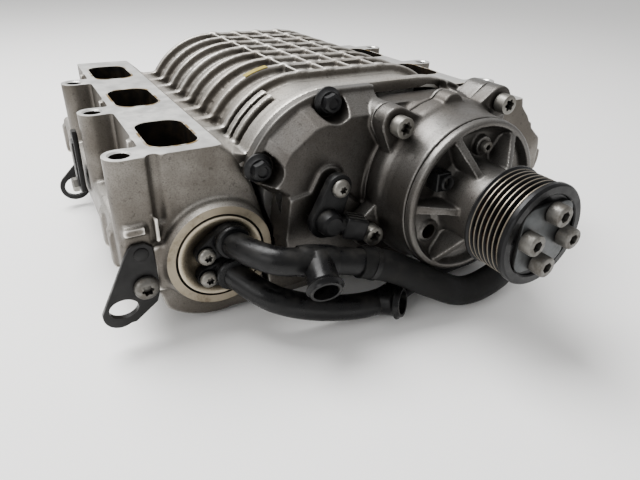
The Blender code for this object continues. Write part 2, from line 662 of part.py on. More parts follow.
def make_rotor(name, side, hand, phase, front_journal, finish):
    """A twisted four-lobe rotor with its two journals."""
    sections = 12
    profile = rotor_profile(12)
    shape = bmesh.new()
    rings = []
    for k in range(sections + 1):
        turn = math.radians(phase + hand * ROTOR_TWIST * k / sections)
        y = rotor_front + ROTOR_LENGTH * k / sections
        row = []
        for px, pz in profile:
            x = side * rotor_x + px * math.cos(turn) - pz * math.sin(turn)
            z = ROTOR_AXIS_Z + px * math.sin(turn) + pz * math.cos(turn)
            row.append(shape.verts.new((x, y, z)))
        rings.append(row)
    count = len(profile)
    for lower, upper in zip(rings, rings[1:]):
        for i in range(count):
            j = (i + 1) % count
            shape.faces.new((lower[i], lower[j], upper[j], upper[i]))
    shape.faces.new(rings[0])
    shape.faces.new(rings[-1])
    rotor = finish_mesh(name, shape, finish)
    centre = (side * rotor_x, 0, ROTOR_AXIS_Z)
    unite(rotor, rod("journal", JOURNAL_RADIUS, centre, front_journal, rotor_front + 2, steps=20))
    rear_end = rotor_rear + CLEAR + BEARING_WIDTH + 2
    unite(rotor, rod("journal", JOURNAL_RADIUS, centre, rotor_rear - 2, rear_end, steps=20))
    return rotor


def make_gear(name, side, phase, finish):
    """A timing gear; the tooth thickness leaves backlash."""
    root = rotor_x - 1.15 * gear_module
    step = math.tau / GEAR_TEETH
    outline = []
    for tooth in range(GEAR_TEETH):
        middle = math.radians(phase) + tooth * step
        for radius, share in ((root, -0.33), (gear_tip, -0.11), (gear_tip, 0.11), (root, 0.33)):
            angle = middle + share * step
            outline.append((side * rotor_x + radius * math.cos(angle),
                            ROTOR_AXIS_Z + radius * math.sin(angle)))
    front = case_front - 3 - GEAR_WIDTH
    gear = prism(name, outline, front, front + GEAR_WIDTH, "Y", finish)
    bore = rod("bore", JOURNAL_RADIUS + CLEAR, (side * rotor_x, 0, ROTOR_AXIS_Z),
               front - OVERCUT, front + GEAR_WIDTH + OVERCUT, steps=20)
    return cut(gear, bore)


def make_bearing_plate(finish):
    """The wall between the rotors and the timing gears."""
    front = case_front + CLEAR
    plate = prism("bearing_plate", stadium(case_bore + 2.1, 14), front,
                  front + PLATE_THICKNESS - CLEAR, "Y", finish)
    for side in (-1, 1):
        cut(plate, rod("seat", BEARING_RADIUS + 2 * CLEAR, (side * rotor_x, 0, ROTOR_AXIS_Z),
                       front - OVERCUT, front + PLATE_THICKNESS + OVERCUT, steps=20))
    return plate


def drive_lobes():
    """Centre and radius of each lobe of the drive flange; the last one has no screw."""
    axis = (rotor_x, ROTOR_AXIS_Z)
    lobes = [(polar(axis, DRIVE_LOBE_CIRCLE, degrees), DRIVE_LOBE_RADIUS) for degrees in DRIVE_LOBES]
    lobes.append((polar(axis, BARE_LOBE_CIRCLE, BARE_LOBE_DEGREES), BARE_LOBE_RADIUS))
    return lobes


def gear_cover_bolts():
    """Centres of the flange bolts round the gear cover."""
    left = (-rotor_x, ROTOR_AXIS_Z)
    low_x = cover_gap_x - LOW_BOLT_INSET
    low_z = ROTOR_AXIS_Z - LOW_BOLT_DROP
    return [polar(left, cover_bolt_circle, 157),
            polar(left, cover_bolt_circle, 97),
            (-low_x, low_z),
            (low_x, low_z)]


def make_gear_cover(finish):
    """Front case over the timing gears, with the pad for the drive unit."""
    joint = case_front - CLEAR
    flange_face = joint - GEAR_COVER_FLANGE
    front = joint - GEAR_COVER_DEPTH
    outline = gear_outline(gear_cover_radius, cover_gap_x)
    cover = prism("gear_cover", outline, flange_face, joint, "Y", finish)
    body = gear_outline(gear_cover_radius - 3, cover_gap_x - 2)
    unite(cover, prism("body", body, front, joint - 2.5))
    pad_face = drive_pad_y + CLEAR
    unite(cover, rod("pad", DRIVE_FLANGE_RADIUS, (rotor_x, 0, ROTOR_AXIS_Z), pad_face - 2,
                     joint - 4, steps=32))
    for centre, radius in drive_lobes():
        outline = capsule((rotor_x, ROTOR_AXIS_Z), radius + 14, centre, radius - 1, 5)
        unite(cover, prism("lobe", outline, pad_face - 1, joint - 8))
    reach = DRIVE_LOBE_CIRCLE + DRIVE_LOBE_RADIUS + 5
    cut(cover, block("pad_joint", (rotor_x - reach, pad_face - 5, ROTOR_AXIS_Z - reach),
                     (rotor_x + reach, pad_face, ROTOR_AXIS_Z + reach)))
    cut(cover, rod("cooler_room", COOLER_RING_RADIUS + 1.5, (COOLER_X, 0, COOLER_Z),
                   bank_front - COOLER_RING_DEPTH - 1.5, joint + OVERCUT, steps=28))
    sensor_low, sensor_high = sensor_ends()
    unite(cover, prism("sensor_boss", capsule(sensor_low, 11, sensor_high, 9), front - 8, front + 4))
    for centre in gear_cover_bolts():
        heart = Vector((math.copysign(rotor_x, centre[0]), ROTOR_AXIS_Z))
        away = (Vector(centre) - heart).normalized() * 20
        beyond = Vector(centre) + away
        pocket = capsule(centre, 10.5, (beyond.x, beyond.y), 10)
        cut(cover, prism("pocket", pocket, front - 20, flange_face))
        cut(cover, rod("hole", M8_SHANK_RADIUS + CLEAR, (centre[0], 0, centre[1]),
                       front, joint + OVERCUT, steps=10))
    for side in (-1, 1):
        cut(cover, rod("case", gear_case_radius, (side * rotor_x, 0, ROTOR_AXIS_Z),
                       joint - GEAR_COVER_DEPTH + 6, joint + OVERCUT, steps=28))
    cut(cover, rod("shaft_window", 30, (rotor_x, 0, ROTOR_AXIS_Z), drive_pad_y - OVERCUT, front + 10))
    cut(cover, rod("sensor_bore", 5 + 2 * CLEAR, (sensor_low[0], 0, sensor_low[1]), front - 9,
                   front + 2, steps=12))
    return cover


def sensor_ends():
    """Lower (probe) and upper (screw) ends of the pressure sensor's boss."""
    return (-58.0, ROTOR_AXIS_Z - 9.0), (-49.0, ROTOR_AXIS_Z + 13.0)


def make_drive_housing(finish):
    """The clutch housing with its lobed flange."""
    flange_back = drive_pad_y
    centre = (rotor_x, 0, ROTOR_AXIS_Z)
    rough_back = flange_back + 2
    profile = [(0, rough_back), (DRIVE_FLANGE_RADIUS, rough_back),
               (DRIVE_FLANGE_RADIUS, drive_flange_y), (DRIVE_BODY_RADIUS + 2, drive_flange_y - 4),
               (DRIVE_BODY_RADIUS, drive_seam_y), (0, drive_seam_y)]
    housing = turned("drive_housing", profile, centre, steps=32, finish=finish)
    for spot, radius in drive_lobes():
        outline = capsule((rotor_x, ROTOR_AXIS_Z), radius + 18, spot, radius, 6)
        unite(housing, prism("lobe", outline, drive_flange_y + 0.5, flange_back + 1))
    reach = DRIVE_LOBE_CIRCLE + DRIVE_LOBE_RADIUS + 5
    cut(housing, block("joint_face", (rotor_x - reach, flange_back, ROTOR_AXIS_Z - reach),
                       (rotor_x + reach, flange_back + 5, ROTOR_AXIS_Z + reach)))
    cavity = DRIVE_BODY_RADIUS - DRIVE_WALL
    cut(housing, rod("cavity", cavity, centre, drive_seam_y - OVERCUT, flange_back + OVERCUT, steps=40))
    for degrees in DRIVE_LOBES:
        spot = polar((rotor_x, ROTOR_AXIS_Z), DRIVE_LOBE_CIRCLE, degrees)
        cut(housing, rod("hole", M8_SHANK_RADIUS + CLEAR, (spot[0], 0, spot[1]),
                         drive_flange_y - OVERCUT, flange_back + OVERCUT, steps=10))
    return housing


def make_drive_nose(finish):
    """The ribbed nose that carries the pulley shaft's bearing."""
    centre = (rotor_x, 0, ROTOR_AXIS_Z)
    joint = drive_seam_y - CLEAR
    dish = nose_face_y + 9
    profile = [(0, joint + 8), (DRIVE_BODY_RADIUS - DRIVE_WALL - CLEAR, joint + 8),
               (DRIVE_BODY_RADIUS - DRIVE_WALL - CLEAR, joint), (nose_rim_radius + 1, joint),
               (nose_rim_radius, nose_face_y), (nose_rim_radius - 4, nose_face_y),
               (nose_rim_radius - 7, dish), (NOSE_HUB_RADIUS + 3, dish),
               (NOSE_HUB_RADIUS, dish - 4), (NOSE_HUB_RADIUS, nose_front_y), (0, nose_front_y)]
    nose = turned("drive_nose", profile, centre, steps=28, finish=finish)
    for index in range(NOSE_RIBS):
        degrees = index * 360 / NOSE_RIBS - 3
        rib = bmesh.new()
        outer = nose_rim_radius - 2
        side_view = [(NOSE_HUB_RADIUS - 4, dish + 1), (outer - 6, dish + 1), (outer - 6, joint - 1),
                     (outer, joint - 1),
                     (outer, nose_face_y + 0.5), (NOSE_HUB_RADIUS - 4, nose_front_y + 10)]
        face = rib.faces.new([rib.verts.new((r, y, -2.0)) for r, y in side_view])
        grown = bmesh.ops.extrude_face_region(rib, geom=[face])
        moved = [g for g in grown["geom"] if isinstance(g, bmesh.types.BMVert)]
        bmesh.ops.translate(rib, vec=(0, 0, 4.0), verts=moved)
        swing = Matrix.Translation(centre) @ Matrix.Rotation(math.radians(-degrees), 4, "Y")
        bmesh.ops.transform(rib, matrix=swing, verts=rib.verts)
        unite(nose, finish_mesh("rib", rib))
    cut(nose, rod("shaft_bore", SHAFT_RADIUS + 1, centre, nose_front_y - OVERCUT, joint + 9, steps=24))
    cut(nose, rod("bearing_seat", 19 + CLEAR, centre, nose_front_y - OVERCUT, nose_front_y + 18, steps=24))
    return nose


def make_drive_inside(steel, copper, dark):
    """Clutch coil, armature, driven hub, bearing, seal and the pulley shaft."""
    centre = (rotor_x, 0, ROTOR_AXIS_Z)
    coil_front = drive_seam_y + 9
    inside = DRIVE_BODY_RADIUS - DRIVE_WALL
    ring("clutch_coil", 22, inside - 8, centre, coil_front, coil_front + 11, steps=20, finish=copper)
    armature = coil_front + 12
    ring("clutch_armature", SHAFT_RADIUS + CLEAR, inside - 7, centre, armature, armature + 4,
         finish=steel)
    hub_front = armature + 5
    hub = [(JOURNAL_RADIUS + CLEAR, hub_front + 2), (JOURNAL_RADIUS + CLEAR, hub_front + 18),
           (16, hub_front + 18), (18, hub_front + 6), (27, hub_front + 5), (27, hub_front),
           (JOURNAL_RADIUS + CLEAR, hub_front)]
    turned("clutch_hub", hub, centre, steps=20, finish=steel)
    bearing = nose_front_y + 5
    ring("nose_bearing", SHAFT_RADIUS + CLEAR, 19, centre, bearing, bearing + 12, steps=20, finish=steel)
    ring("nose_seal", SHAFT_RADIUS + CLEAR, 18.6, centre, nose_front_y + 0.6, nose_front_y + 4.6,
         steps=20, finish=dark)
    flange_front = pulley_front_y + PULLEY_FRONT_WALL + CLEAR
    shaft = [(0, flange_front), (22, flange_front), (22, flange_front + 7),
             (SHAFT_RADIUS, flange_front + 8), (SHAFT_RADIUS, armature + 4.4), (0, armature + 4.4)]
    shaft = turned("pulley_shaft", shaft, centre, steps=20, finish=steel)
    for index in range(4):
        x, z = polar((rotor_x, ROTOR_AXIS_Z), PULLEY_SCREW_CIRCLE, PULLEY_SCREW_ANGLE + 90 * index)
        cut(shaft, rod("tap", M8_SHANK_RADIUS + CLEAR, (x, 0, z), flange_front - OVERCUT,
                       flange_front + 9, steps=12))


def make_pulley(finish):
    """Six-groove belt pulley, open at the back over the nose hub."""
    centre = (rotor_x, 0, ROTOR_AXIS_Z)
    crest = PULLEY_CREST_RADIUS
    root = crest - GROOVE_DEPTH
    outline = [(PULLEY_FLANGE_RADIUS, pulley_rear_y), (PULLEY_FLANGE_RADIUS, pulley_rear_y - 1.6)]
    first = pulley_rear_y - 1.6 - 1.4
    outline += [(crest, first + 0.7)]
    for groove in range(GROOVES):
        start = first - groove * RIB_PITCH_BELT
        outline += [(crest, start), (root, start - 0.5 * RIB_PITCH_BELT + 0.15),
                    (crest, start - RIB_PITCH_BELT + 0.3)]
    last = first - GROOVES * RIB_PITCH_BELT
    outline += [(crest, last - 0.5), (PULLEY_FLANGE_RADIUS, last - 1.4),
                (PULLEY_FLANGE_RADIUS, pulley_front_y), (26, pulley_front_y),
                (25, pulley_front_y + 1.6), (0, pulley_front_y + 1.6)]
    inside = pulley_front_y + PULLEY_FRONT_WALL
    outline += [(0, inside), (25.5, inside), (25.5, pulley_rear_y)]
    pulley = turned("pulley", outline, centre, steps=28, finish=finish)
    pad = rounded_box((rotor_x, ROTOR_AXIS_Z), 21.5, 21.5, 8, 3)
    unite(pulley, prism("pad", pad, pulley_front_y - 0.4, pulley_front_y + 3))
    for index in range(4):
        x, z = polar((rotor_x, ROTOR_AXIS_Z), PULLEY_SCREW_CIRCLE, PULLEY_SCREW_ANGLE + 90 * index)
        cut(pulley, rod("hole", M8_SHANK_RADIUS + CLEAR, (x, 0, z), pulley_front_y - 2,
                        inside + OVERCUT, steps=12))
    return pulley


def screw(name, centre, seat, length, finish, head_radius=M8_HEAD_RADIUS, head_height=M8_HEAD_HEIGHT,
          shank=M8_SHANK_RADIUS, recess=3.4, washer=0.0):
    """A cap screw along Y whose head sits on the plane y = seat, tip towards +Y."""
    top = seat - CLEAR - head_height
    under = seat - CLEAR
    profile = [(0, top + head_height * 0.6), (recess, top + head_height * 0.55), (recess, top),
               (head_radius, top)]
    if washer:
        profile += [(head_radius, under - 2.0), (washer, under - 2.0), (washer, under)]
    else:
        profile += [(head_radius, under)]
    profile += [(shank, under), (shank, seat + length), (0, seat + length)]
    return turned(name, profile, (centre[0], 0, centre[1]), steps=10, finish=finish)


def make_screws(steel, black):
    """Every screw that runs along Y into the front of the module."""
    for index in range(4):
        spot = polar((rotor_x, ROTOR_AXIS_Z), PULLEY_SCREW_CIRCLE, PULLEY_SCREW_ANGLE + 90 * index)
        screw(f"pulley_screw_{index + 1}", spot, pulley_front_y - 0.4, 14, steel)
    for index, degrees in enumerate(DRIVE_LOBES):
        spot = polar((rotor_x, ROTOR_AXIS_Z), DRIVE_LOBE_CIRCLE, degrees)
        screw(f"drive_screw_{index + 1}", spot, drive_flange_y, DRIVE_FLANGE_THICKNESS - 0.6, steel,
              head_radius=7.2)
    joint = case_front - CLEAR
    for index, spot in enumerate(gear_cover_bolts()):
        screw(f"cover_bolt_{index + 1}", spot, joint - GEAR_COVER_FLANGE, GEAR_COVER_FLANGE - 1, black,
              head_radius=6.8, head_height=9, washer=8.6, recess=4.2)


def make_cooler(side, tag, core_finish, cap_finish, seal_finish):
    """Cooler core, its round end cap and the cap's seal."""
    x = side * COOLER_X
    core_front = bank_front + CAP_DEPTH
    core_rear = bank_rear - COOLER_REAR_WALL - 3
    outline = rounded_box((x, COOLER_Z), CORE_HALF, CORE_HALF, 3, 2)
    prism(f"cooler_core_{tag}", outline, core_front, core_rear, "Y", core_finish)
    face = bank_front - COOLER_RING_DEPTH
    radius = COOLER_BORE_RADIUS - SEAL_WIDTH - 2 * CLEAR
    back = bank_front + CAP_DEPTH - CLEAR
    profile = [(0, face + 6), (CAP_RECESS_RADIUS, face + 6), (CAP_RECESS_RADIUS + 0.6, face + 1),
               (CAP_RECESS_RADIUS + 2, face - 0.5), (radius, face + 1),
               (radius, face + SEAL_DEPTH + 1), (COOLER_BORE_RADIUS - CLEAR, face + SEAL_DEPTH + 1),
               (COOLER_BORE_RADIUS - CLEAR, back), (0, back)]
    turned(f"cooler_cap_{tag}", profile, (x, 0, COOLER_Z), steps=24, finish=cap_finish)
    ring(f"cap_seal_{tag}", radius + CLEAR, COOLER_BORE_RADIUS - CLEAR, (x, 0, COOLER_Z), face + 0.6,
         face + SEAL_DEPTH + 0.7, steps=24, finish=seal_finish)


def pipe_ports(side):
    """Outlet centres on a cooler cap: (upper, lower), and their screws."""
    x = side * COOLER_X
    upper = (x - side * 6, COOLER_Z + 11)
    lower = (x - side * 5, COOLER_Z - 12)
    return upper, lower


def make_pipe(name, route, radius, nozzle, nozzle_run, flanges, finish):
    """A coolant pipe between the two cooler caps with one open nozzle."""
    body = pipe(name, route, radius, finish)
    tip = Vector(nozzle) + Vector(nozzle_run)
    heading = Vector(nozzle_run).normalized()
    stub = pipe("stub", [nozzle, tip], NOZZLE_RADIUS)
    unite(body, stub)
    bead = pipe("bead", [tip - heading * 5.0, tip - heading * 1.5], NOZZLE_BEAD_RADIUS)
    unite(body, bead)
    cut(body, pipe("bore", [tip - heading * 14, tip + heading], NOZZLE_RADIUS - 1.8))
    for (x, z), (sx, sz) in flanges:
        seat = bank_front - COOLER_RING_DEPTH + 6 - CLEAR
        outline = capsule((x, z), 9.8, (sx, sz), 5.8, 8)
        plate = prism("plate", outline, seat - 7, seat)
        cut(plate, rod("hole", 2.8, (sx, 0, sz), seat - 9, seat + OVERCUT, steps=12))
        unite(body, plate)
    return body


def make_pipes(plastic, steel):
    """Upper and lower coolant pipes and their four screws."""
    seat = bank_front - COOLER_RING_DEPTH + 6 - CLEAR
    left_up, left_low = pipe_ports(-1)
    right_up, right_low = pipe_ports(1)
    screw_up = (-COOLER_X - 10, COOLER_Z + 3.4)
    screw_low = (-COOLER_X - 10, COOLER_Z - 13)
    screw_up_right = (COOLER_X + 10, COOLER_Z + 3.4)
    screw_low_right = (COOLER_X + 10, COOLER_Z - 13)
    upper = [(left_up[0], seat - 2, left_up[1]), (left_up[0] + 1, seat - 14, left_up[1] - 1),
             (-96, seat - 40.7, 63), (-72, seat - 46.7, 59), (-48, seat - 50.7, 54),
             (-20, seat - 55.7, 44), (8, seat - 63.7, 28), (33, seat - 67.7, 15.5),
             (62, seat - 65.7, 13.5), (86, seat - 57.7, 18), (104, seat - 33.7, 44),
             (right_up[0], seat - 12, right_up[1] - 1), (right_up[0], seat - 2, right_up[1])]
    make_pipe("coolant_pipe_upper", upper, PIPE_RADIUS, (-72, seat - 46.7, 60), (-5, -21, -9),
              [(left_up, screw_up), (right_up, screw_up_right)], plastic)
    lower = [(left_low[0], seat - 2, left_low[1]), (left_low[0] + 2, seat - 12, left_low[1] - 2),
             (-94, seat - 35.7, 31), (-62, seat - 44.7, 19), (-25, seat - 48.7, 13.5),
             (10, seat - 37.7, 11), (50, seat - 28.7, 10.4), (88, seat - 27.7, 13),
             (105, seat - 21.7, 27), (right_low[0], seat - 10, right_low[1] - 1),
             (right_low[0], seat - 2, right_low[1])]
    make_pipe("coolant_pipe_lower", lower, PIPE_RADIUS, (-22, seat - 48.7, 14), (9, -13, 3),
              [(left_low, screw_low), (right_low, screw_low_right)], plastic)
    spots = (screw_up, screw_low, screw_up_right, screw_low_right)
    tags = ("upper_left", "lower_left", "upper_right", "lower_right")
    for spot, tag in zip(spots, tags):
        screw(f"pipe_screw_{tag}", spot, seat - 7, 6, steel, head_radius=5.6, head_height=4,
              shank=2.5, recess=2.4)


def main():
    for old in list(bpy.data.objects):
        bpy.data.objects.remove(old)
    cast = material("cast_aluminium", (0.48, 0.46, 0.43), 0.5, 0.9)
    cast_grey = material("die_cast_grey", (0.36, 0.35, 0.34), 0.45, 0.9)
    tan = material("chromated_aluminium", (0.55, 0.5, 0.4), 0.45, 0.8)
    steel = material("zinc_steel", (0.45, 0.45, 0.44), 0.35, 1.0)
    black_steel = material("black_steel", (0.03, 0.03, 0.035), 0.5, 0.6)
    plastic = material("black_nylon", (0.02, 0.02, 0.02), 0.45, 0.0)
    rubber = material("black_rubber", (0.015, 0.015, 0.015), 0.7, 0.0)
    core = material("cooler_core", (0.3, 0.3, 0.3), 0.5, 0.9)
    copper = material("enamelled_copper", (0.35, 0.12, 0.06), 0.4, 0.8)
    coated = material("coated_rotor", (0.2, 0.2, 0.21), 0.5, 0.6)
    brass = material("brass", (0.6, 0.45, 0.2), 0.35, 1.0)
    rust = material("rusty_steel", (0.2, 0.1, 0.06), 0.8, 0.4)
    pulley_finish = material("pulley_steel", (0.16, 0.16, 0.16), 0.35, 0.9)

    make_housing(cast)
    make_base_cover(cast)
    make_bearing_plate(cast_grey)
    lobe = 360 / LOBES
    make_rotor("drive_rotor", 1, -1, 0, case_front - 28, coated)
    make_rotor("driven_rotor", -1, 1, lobe / 2, case_front - 15.5, coated)
    tooth = 360 / GEAR_TEETH
    make_gear("drive_timing_gear", 1, 0, steel)
    make_gear("driven_timing_gear", -1, tooth / 2, steel)
    for side, tag in ((1, "drive"), (-1, "driven")):
        centre = (side * rotor_x, 0, ROTOR_AXIS_Z)
        front = case_front + 1.5
        rear = rotor_rear + 2 * CLEAR + 1
        ring(f"front_bearing_{tag}", JOURNAL_RADIUS + CLEAR, BEARING_RADIUS, centre, front,
             front + BEARING_WIDTH, steps=20, finish=steel)
        ring(f"rear_bearing_{tag}", JOURNAL_RADIUS + CLEAR, BEARING_RADIUS, centre, rear,
             rear + BEARING_WIDTH, steps=20, finish=steel)
    make_gear_cover(cast_grey)
    make_drive_housing(cast_grey)
    make_drive_nose(cast_grey)
    make_drive_inside(steel, copper, rubber)
    make_pulley(pulley_finish)
    make_screws(steel, black_steel)
    for side, tag in ((-1, "left"), (1, "right")):
        make_cooler(side, tag, core, tan, rubber)
    make_pipes(plastic, steel)
    make_rear_inlet(cast_grey)
    make_bypass(steel, brass, plastic)
    make_brackets(black_steel, steel, plastic)
    make_sensor(plastic, steel)
    make_clutch_connector(plastic)
    head = [(0, -5), (6, -5), (6, -CLEAR), (0, -CLEAR)]
    turned("housing_bolt", head, (rotor_x + 60, case_front + 58, 108), "Y", 6, rust)
    for made in bpy.data.objects:
        made.data.transform(Matrix.Scale(MM, 4))
        made.data.set_sharp_from_angle(angle=math.radians(32))
    flap_y = case_rear + CLEAR + BYPASS_AXIS_BEHIND
    axes = {(rotor_x, pulley_rear_y, ROTOR_AXIS_Z): DRIVE_AXIS_PIECES,
            (-rotor_x, rotor_front, ROTOR_AXIS_Z): DRIVEN_AXIS_PIECES,
            (0, flap_y, BYPASS_AXIS_Z): BYPASS_PIECES}
    for origin, names in axes.items():
        centre = Vector(origin) * MM
        for name in names:
            made = bpy.data.objects[name]
            made.data.transform(Matrix.Translation(-centre))
            made.location = centre


main()
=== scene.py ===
"""The looks of a supercharger module: castings, drive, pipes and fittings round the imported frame."""

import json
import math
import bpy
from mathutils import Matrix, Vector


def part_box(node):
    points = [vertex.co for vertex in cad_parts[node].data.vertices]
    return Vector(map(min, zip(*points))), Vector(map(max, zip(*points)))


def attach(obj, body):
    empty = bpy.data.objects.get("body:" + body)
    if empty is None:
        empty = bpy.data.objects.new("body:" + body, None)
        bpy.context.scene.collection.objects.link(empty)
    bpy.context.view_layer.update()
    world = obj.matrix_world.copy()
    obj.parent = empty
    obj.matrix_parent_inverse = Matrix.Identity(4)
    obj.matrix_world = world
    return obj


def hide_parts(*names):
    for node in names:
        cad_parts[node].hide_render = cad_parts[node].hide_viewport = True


bl_info = {
    "name": "Supercharger module looks",
    "version": (1, 0, 0),
    "blender": (4, 5, 0),
    "location": "3D View > Sidebar > Supercharger",
    "description": "Builds the visible castings, drive, pipes, fittings and studio of a supercharger module",
    "category": "Object",
}

import bmesh
import bpy
from bpy.props import FloatProperty, FloatVectorProperty, IntProperty, PointerProperty
from mathutils import Matrix, Vector

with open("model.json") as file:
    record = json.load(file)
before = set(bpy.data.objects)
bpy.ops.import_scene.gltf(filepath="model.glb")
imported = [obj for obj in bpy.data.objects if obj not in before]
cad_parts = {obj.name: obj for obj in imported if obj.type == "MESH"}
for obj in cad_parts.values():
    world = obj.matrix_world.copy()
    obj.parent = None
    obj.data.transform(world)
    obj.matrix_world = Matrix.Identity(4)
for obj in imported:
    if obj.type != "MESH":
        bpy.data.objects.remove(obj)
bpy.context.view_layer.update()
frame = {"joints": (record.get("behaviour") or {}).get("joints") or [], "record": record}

MM = 0.001                       # shapes are written in millimetres
GAP = 0.3                        # gap that the frame's solids keep
WELD = 0.001
CAST_SKIN = 3.0                  # cast stock above a face that is machined later
RING_ROOM = 37.2                 # radius cut out of the front case round each cooler ring
ARCHES = 8                       # ribs that run over both rotors
FIRST_ARCH = 43.5                # from the front face of the case to the first of them
ARCH_PITCH = 25.5
SEAL_BORE = 27.9                 # inside radius of a cap's seal

CAMERA_PLACE = (-204.6, -408.3, 227.0)
CAMERA_AZIMUTH = -31.318         # degrees; 0 looks along +Y at the pulley, less is towards the left bank
CAMERA_HEIGHT = 28.182
CAMERA_ROLL = 2.090
CAMERA_LENS = 29.12
CAMERA_SENSOR = 36.0
CAMERA_SHIFT = (-0.0097, -0.0284)


# Places read from the frame, in millimetres

def node_box(name):
    """Lowest and highest corner of a frame node."""
    low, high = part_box(name)
    return low / MM, high / MM


def middle(name):
    """Middle of a frame node."""
    low, high = node_box(name)
    return (low + high) / 2


def opening(name):
    """Middle of a stated opening."""
    for entry in frame["record"]["physics"]["openings"]:
        if entry["name"] == name:
            low, high = (Vector(corner) for corner in entry["box_m"])
            return (low + high) / 2 / MM
    raise ValueError(f"the record has no opening named {name}")


def joint_place(name):
    """Where a joint of the frame stands."""
    for joint in frame["joints"]:
        if joint["name"] == name:
            return Vector(joint["pos_m"]) / MM
    raise ValueError(f"the record has no joint named {name}")


def upright(spot):
    """The centre of a shape along Y, from its place across and up."""
    return spot[0], 0, spot[1]


def head_place(name):
    """Place across and up of a screw, and the Y of its head's top."""
    low, high = node_box(name)
    return ((low.x + high.x) / 2, (low.z + high.z) / 2), low.y


def mount_place(name):
    """Where a mount of the frame stands."""
    for mount in frame["record"]["mounts"]:
        if mount["name"] == name:
            return Vector(mount["pos_m"]) / MM
    raise ValueError(f"the record has no mount named {name}")


drive_axis = joint_place("drive_rotor_spin")
axis_x = drive_axis.x
axis_z = drive_axis.z
deck_z = mount_place("left_intake_flange").z
joint_y = node_box("gear_cover")[1].y + GAP
ring_front = node_box("main_housing")[0].y
bank_rear = node_box("main_housing")[1].y
case_rear = node_box("rear_inlet_housing")[0].y - GAP
crest_radius = node_box("main_housing")[1].z - axis_z
cooler_x = middle("cap_seal_right").x
cooler_z = middle("cap_seal_right").z
cooler_bore = cooler_x - node_box("cap_seal_right")[0].x + GAP
flange_back = node_box("drive_housing")[1].y
seam_y = node_box("drive_housing")[0].y
nose_low, nose_high = node_box("drive_nose")
rim_radius = (nose_high.x - nose_low.x) / 2 - 1
nose_face = seam_y - 6.0
pulley_low, pulley_high = node_box("pulley")
pulley_radius = (pulley_high.x - pulley_low.x) / 2
cover_front = joint_y - GAP - 22.0
ports = {side: [opening(f"{tag}_intake_port_{i}") for i in (1, 2, 3)]
         for side, tag in ((-1, "left"), (1, "right"))}
bolt_row = opening("right_flange_bolt_hole_1").x
bolt_holes = {side: [opening(f"{tag}_flange_bolt_hole_{i}") for i in (1, 2, 3)]
              for side, tag in ((-1, "left"), (1, "right"))}


# Settings that a user would change

def srgb(code):
    """Turn an sRGB hex value into linear colour."""
    channels = [int(code[i:i + 2], 16) / 255 for i in (1, 3, 5)]
    return tuple(c / 12.92 if c <= 0.04045 else ((c + 0.055) / 1.055) ** 2.4 for c in channels)


def colour_setting(name, description, code):
    """A colour property whose default is an sRGB hex value."""
    return FloatVectorProperty(name=name, description=description, subtype="COLOR", size=3,
                               min=0.0, max=1.0, default=srgb(code))


def length_setting(name, description, millimetres):
    """A length property whose default is given in millimetres."""
    return FloatProperty(name=name, description=description, subtype="DISTANCE", unit="LENGTH",
                         default=millimetres * MM, min=0.0)


class CastingSettings(bpy.types.PropertyGroup):
    voxel: length_setting("Cast detail", "Cell size of the cast surfaces", 1.3)
    fine_voxel: length_setting("Fine cast detail", "Cell size of the small castings", 0.8)
    rib_height: length_setting("Rib height", "How far the ribs stand off the rotor case", 6.2)
    rib_width: length_setting("Rib width", "Width of the ribs over the rotor case", 5.2)
    bare: colour_setting("Bare casting", "Clean cast aluminium", "#b8b4ad")
    stain: colour_setting("Stained casting", "Heat-stained cast aluminium", "#7f766b")
    dark_bare: colour_setting("Front casting", "Oiled cast aluminium of the front cases", "#6f6d6a")
    dark_stain: colour_setting("Front stain", "Brown film on the front cases", "#4d463f")
    # The grime colour also paints the shade in the corners and pockets of the castings.
    grime_and_shade: colour_setting("Grime", "Dirt in corners", "#1d1915")
    machined: colour_setting("Machined face", "Milled aluminium faces", "#d9d8d4")


class HardwareSettings(bpy.types.PropertyGroup):
    pulley: colour_setting("Pulley", "Black coating of the pulley", "#161617")
    zinc: colour_setting("Zinc screws", "Zinc-plated screws", "#74726d")
    black: colour_setting("Black screws", "Phosphated flange bolts", "#0e0e0f")
    cap: colour_setting("Cooler cap", "Chromate finish of the cooler caps", "#a69c88")
    groove_pitch: length_setting("Belt rib pitch", "Distance between two belt ribs", 3.56)
    grooves: IntProperty(name="Belt ribs", description="How many grooves the pulley has", default=6, min=2)


class PlasticSettings(bpy.types.PropertyGroup):
    nylon: colour_setting("Nylon", "Moulded pipes and sensor", "#0a0a0b")
    hose: colour_setting("Hose", "Rubber hose", "#0d0d0d")
    pipe_radius: length_setting("Pipe radius", "Outside radius of the coolant pipes", 8.6)
    hose_radius: length_setting("Hose radius", "Outside radius of the coolant hose", 10.2)


class StageSettings(bpy.types.PropertyGroup):
    floor: colour_setting("Floor", "Pale studio floor", "#fbfaf8")
    light: FloatProperty(name="Key light", description="Power of the overhead light in watts",
                         subtype="POWER", default=40.0, min=0.0)
    sky: FloatProperty(name="Room light", description="Strength of the light from all round",
                       default=0.72, min=0.0)


# Mesh tools, all in millimetres

def place(axis, u, v, along):
    """A point from outline coordinates and a distance along an axis."""
    if axis == "X":
        return Vector((along, u, v))
    if axis == "Y":
        return Vector((u, along, v))
    return Vector((u, v, along))


def finish_mesh(name, shape, finish=None):
    """Turn a bmesh into an object with one finish."""
    bmesh.ops.remove_doubles(shape, verts=shape.verts, dist=WELD)
    bmesh.ops.recalc_face_normals(shape, faces=shape.faces)
    mesh = bpy.data.meshes.new(name)
    shape.to_mesh(mesh)
    shape.free()
    made = bpy.data.objects.new(name, mesh)
    bpy.context.scene.collection.objects.link(made)
    if finish is not None:
        mesh.materials.append(finish)
    return made


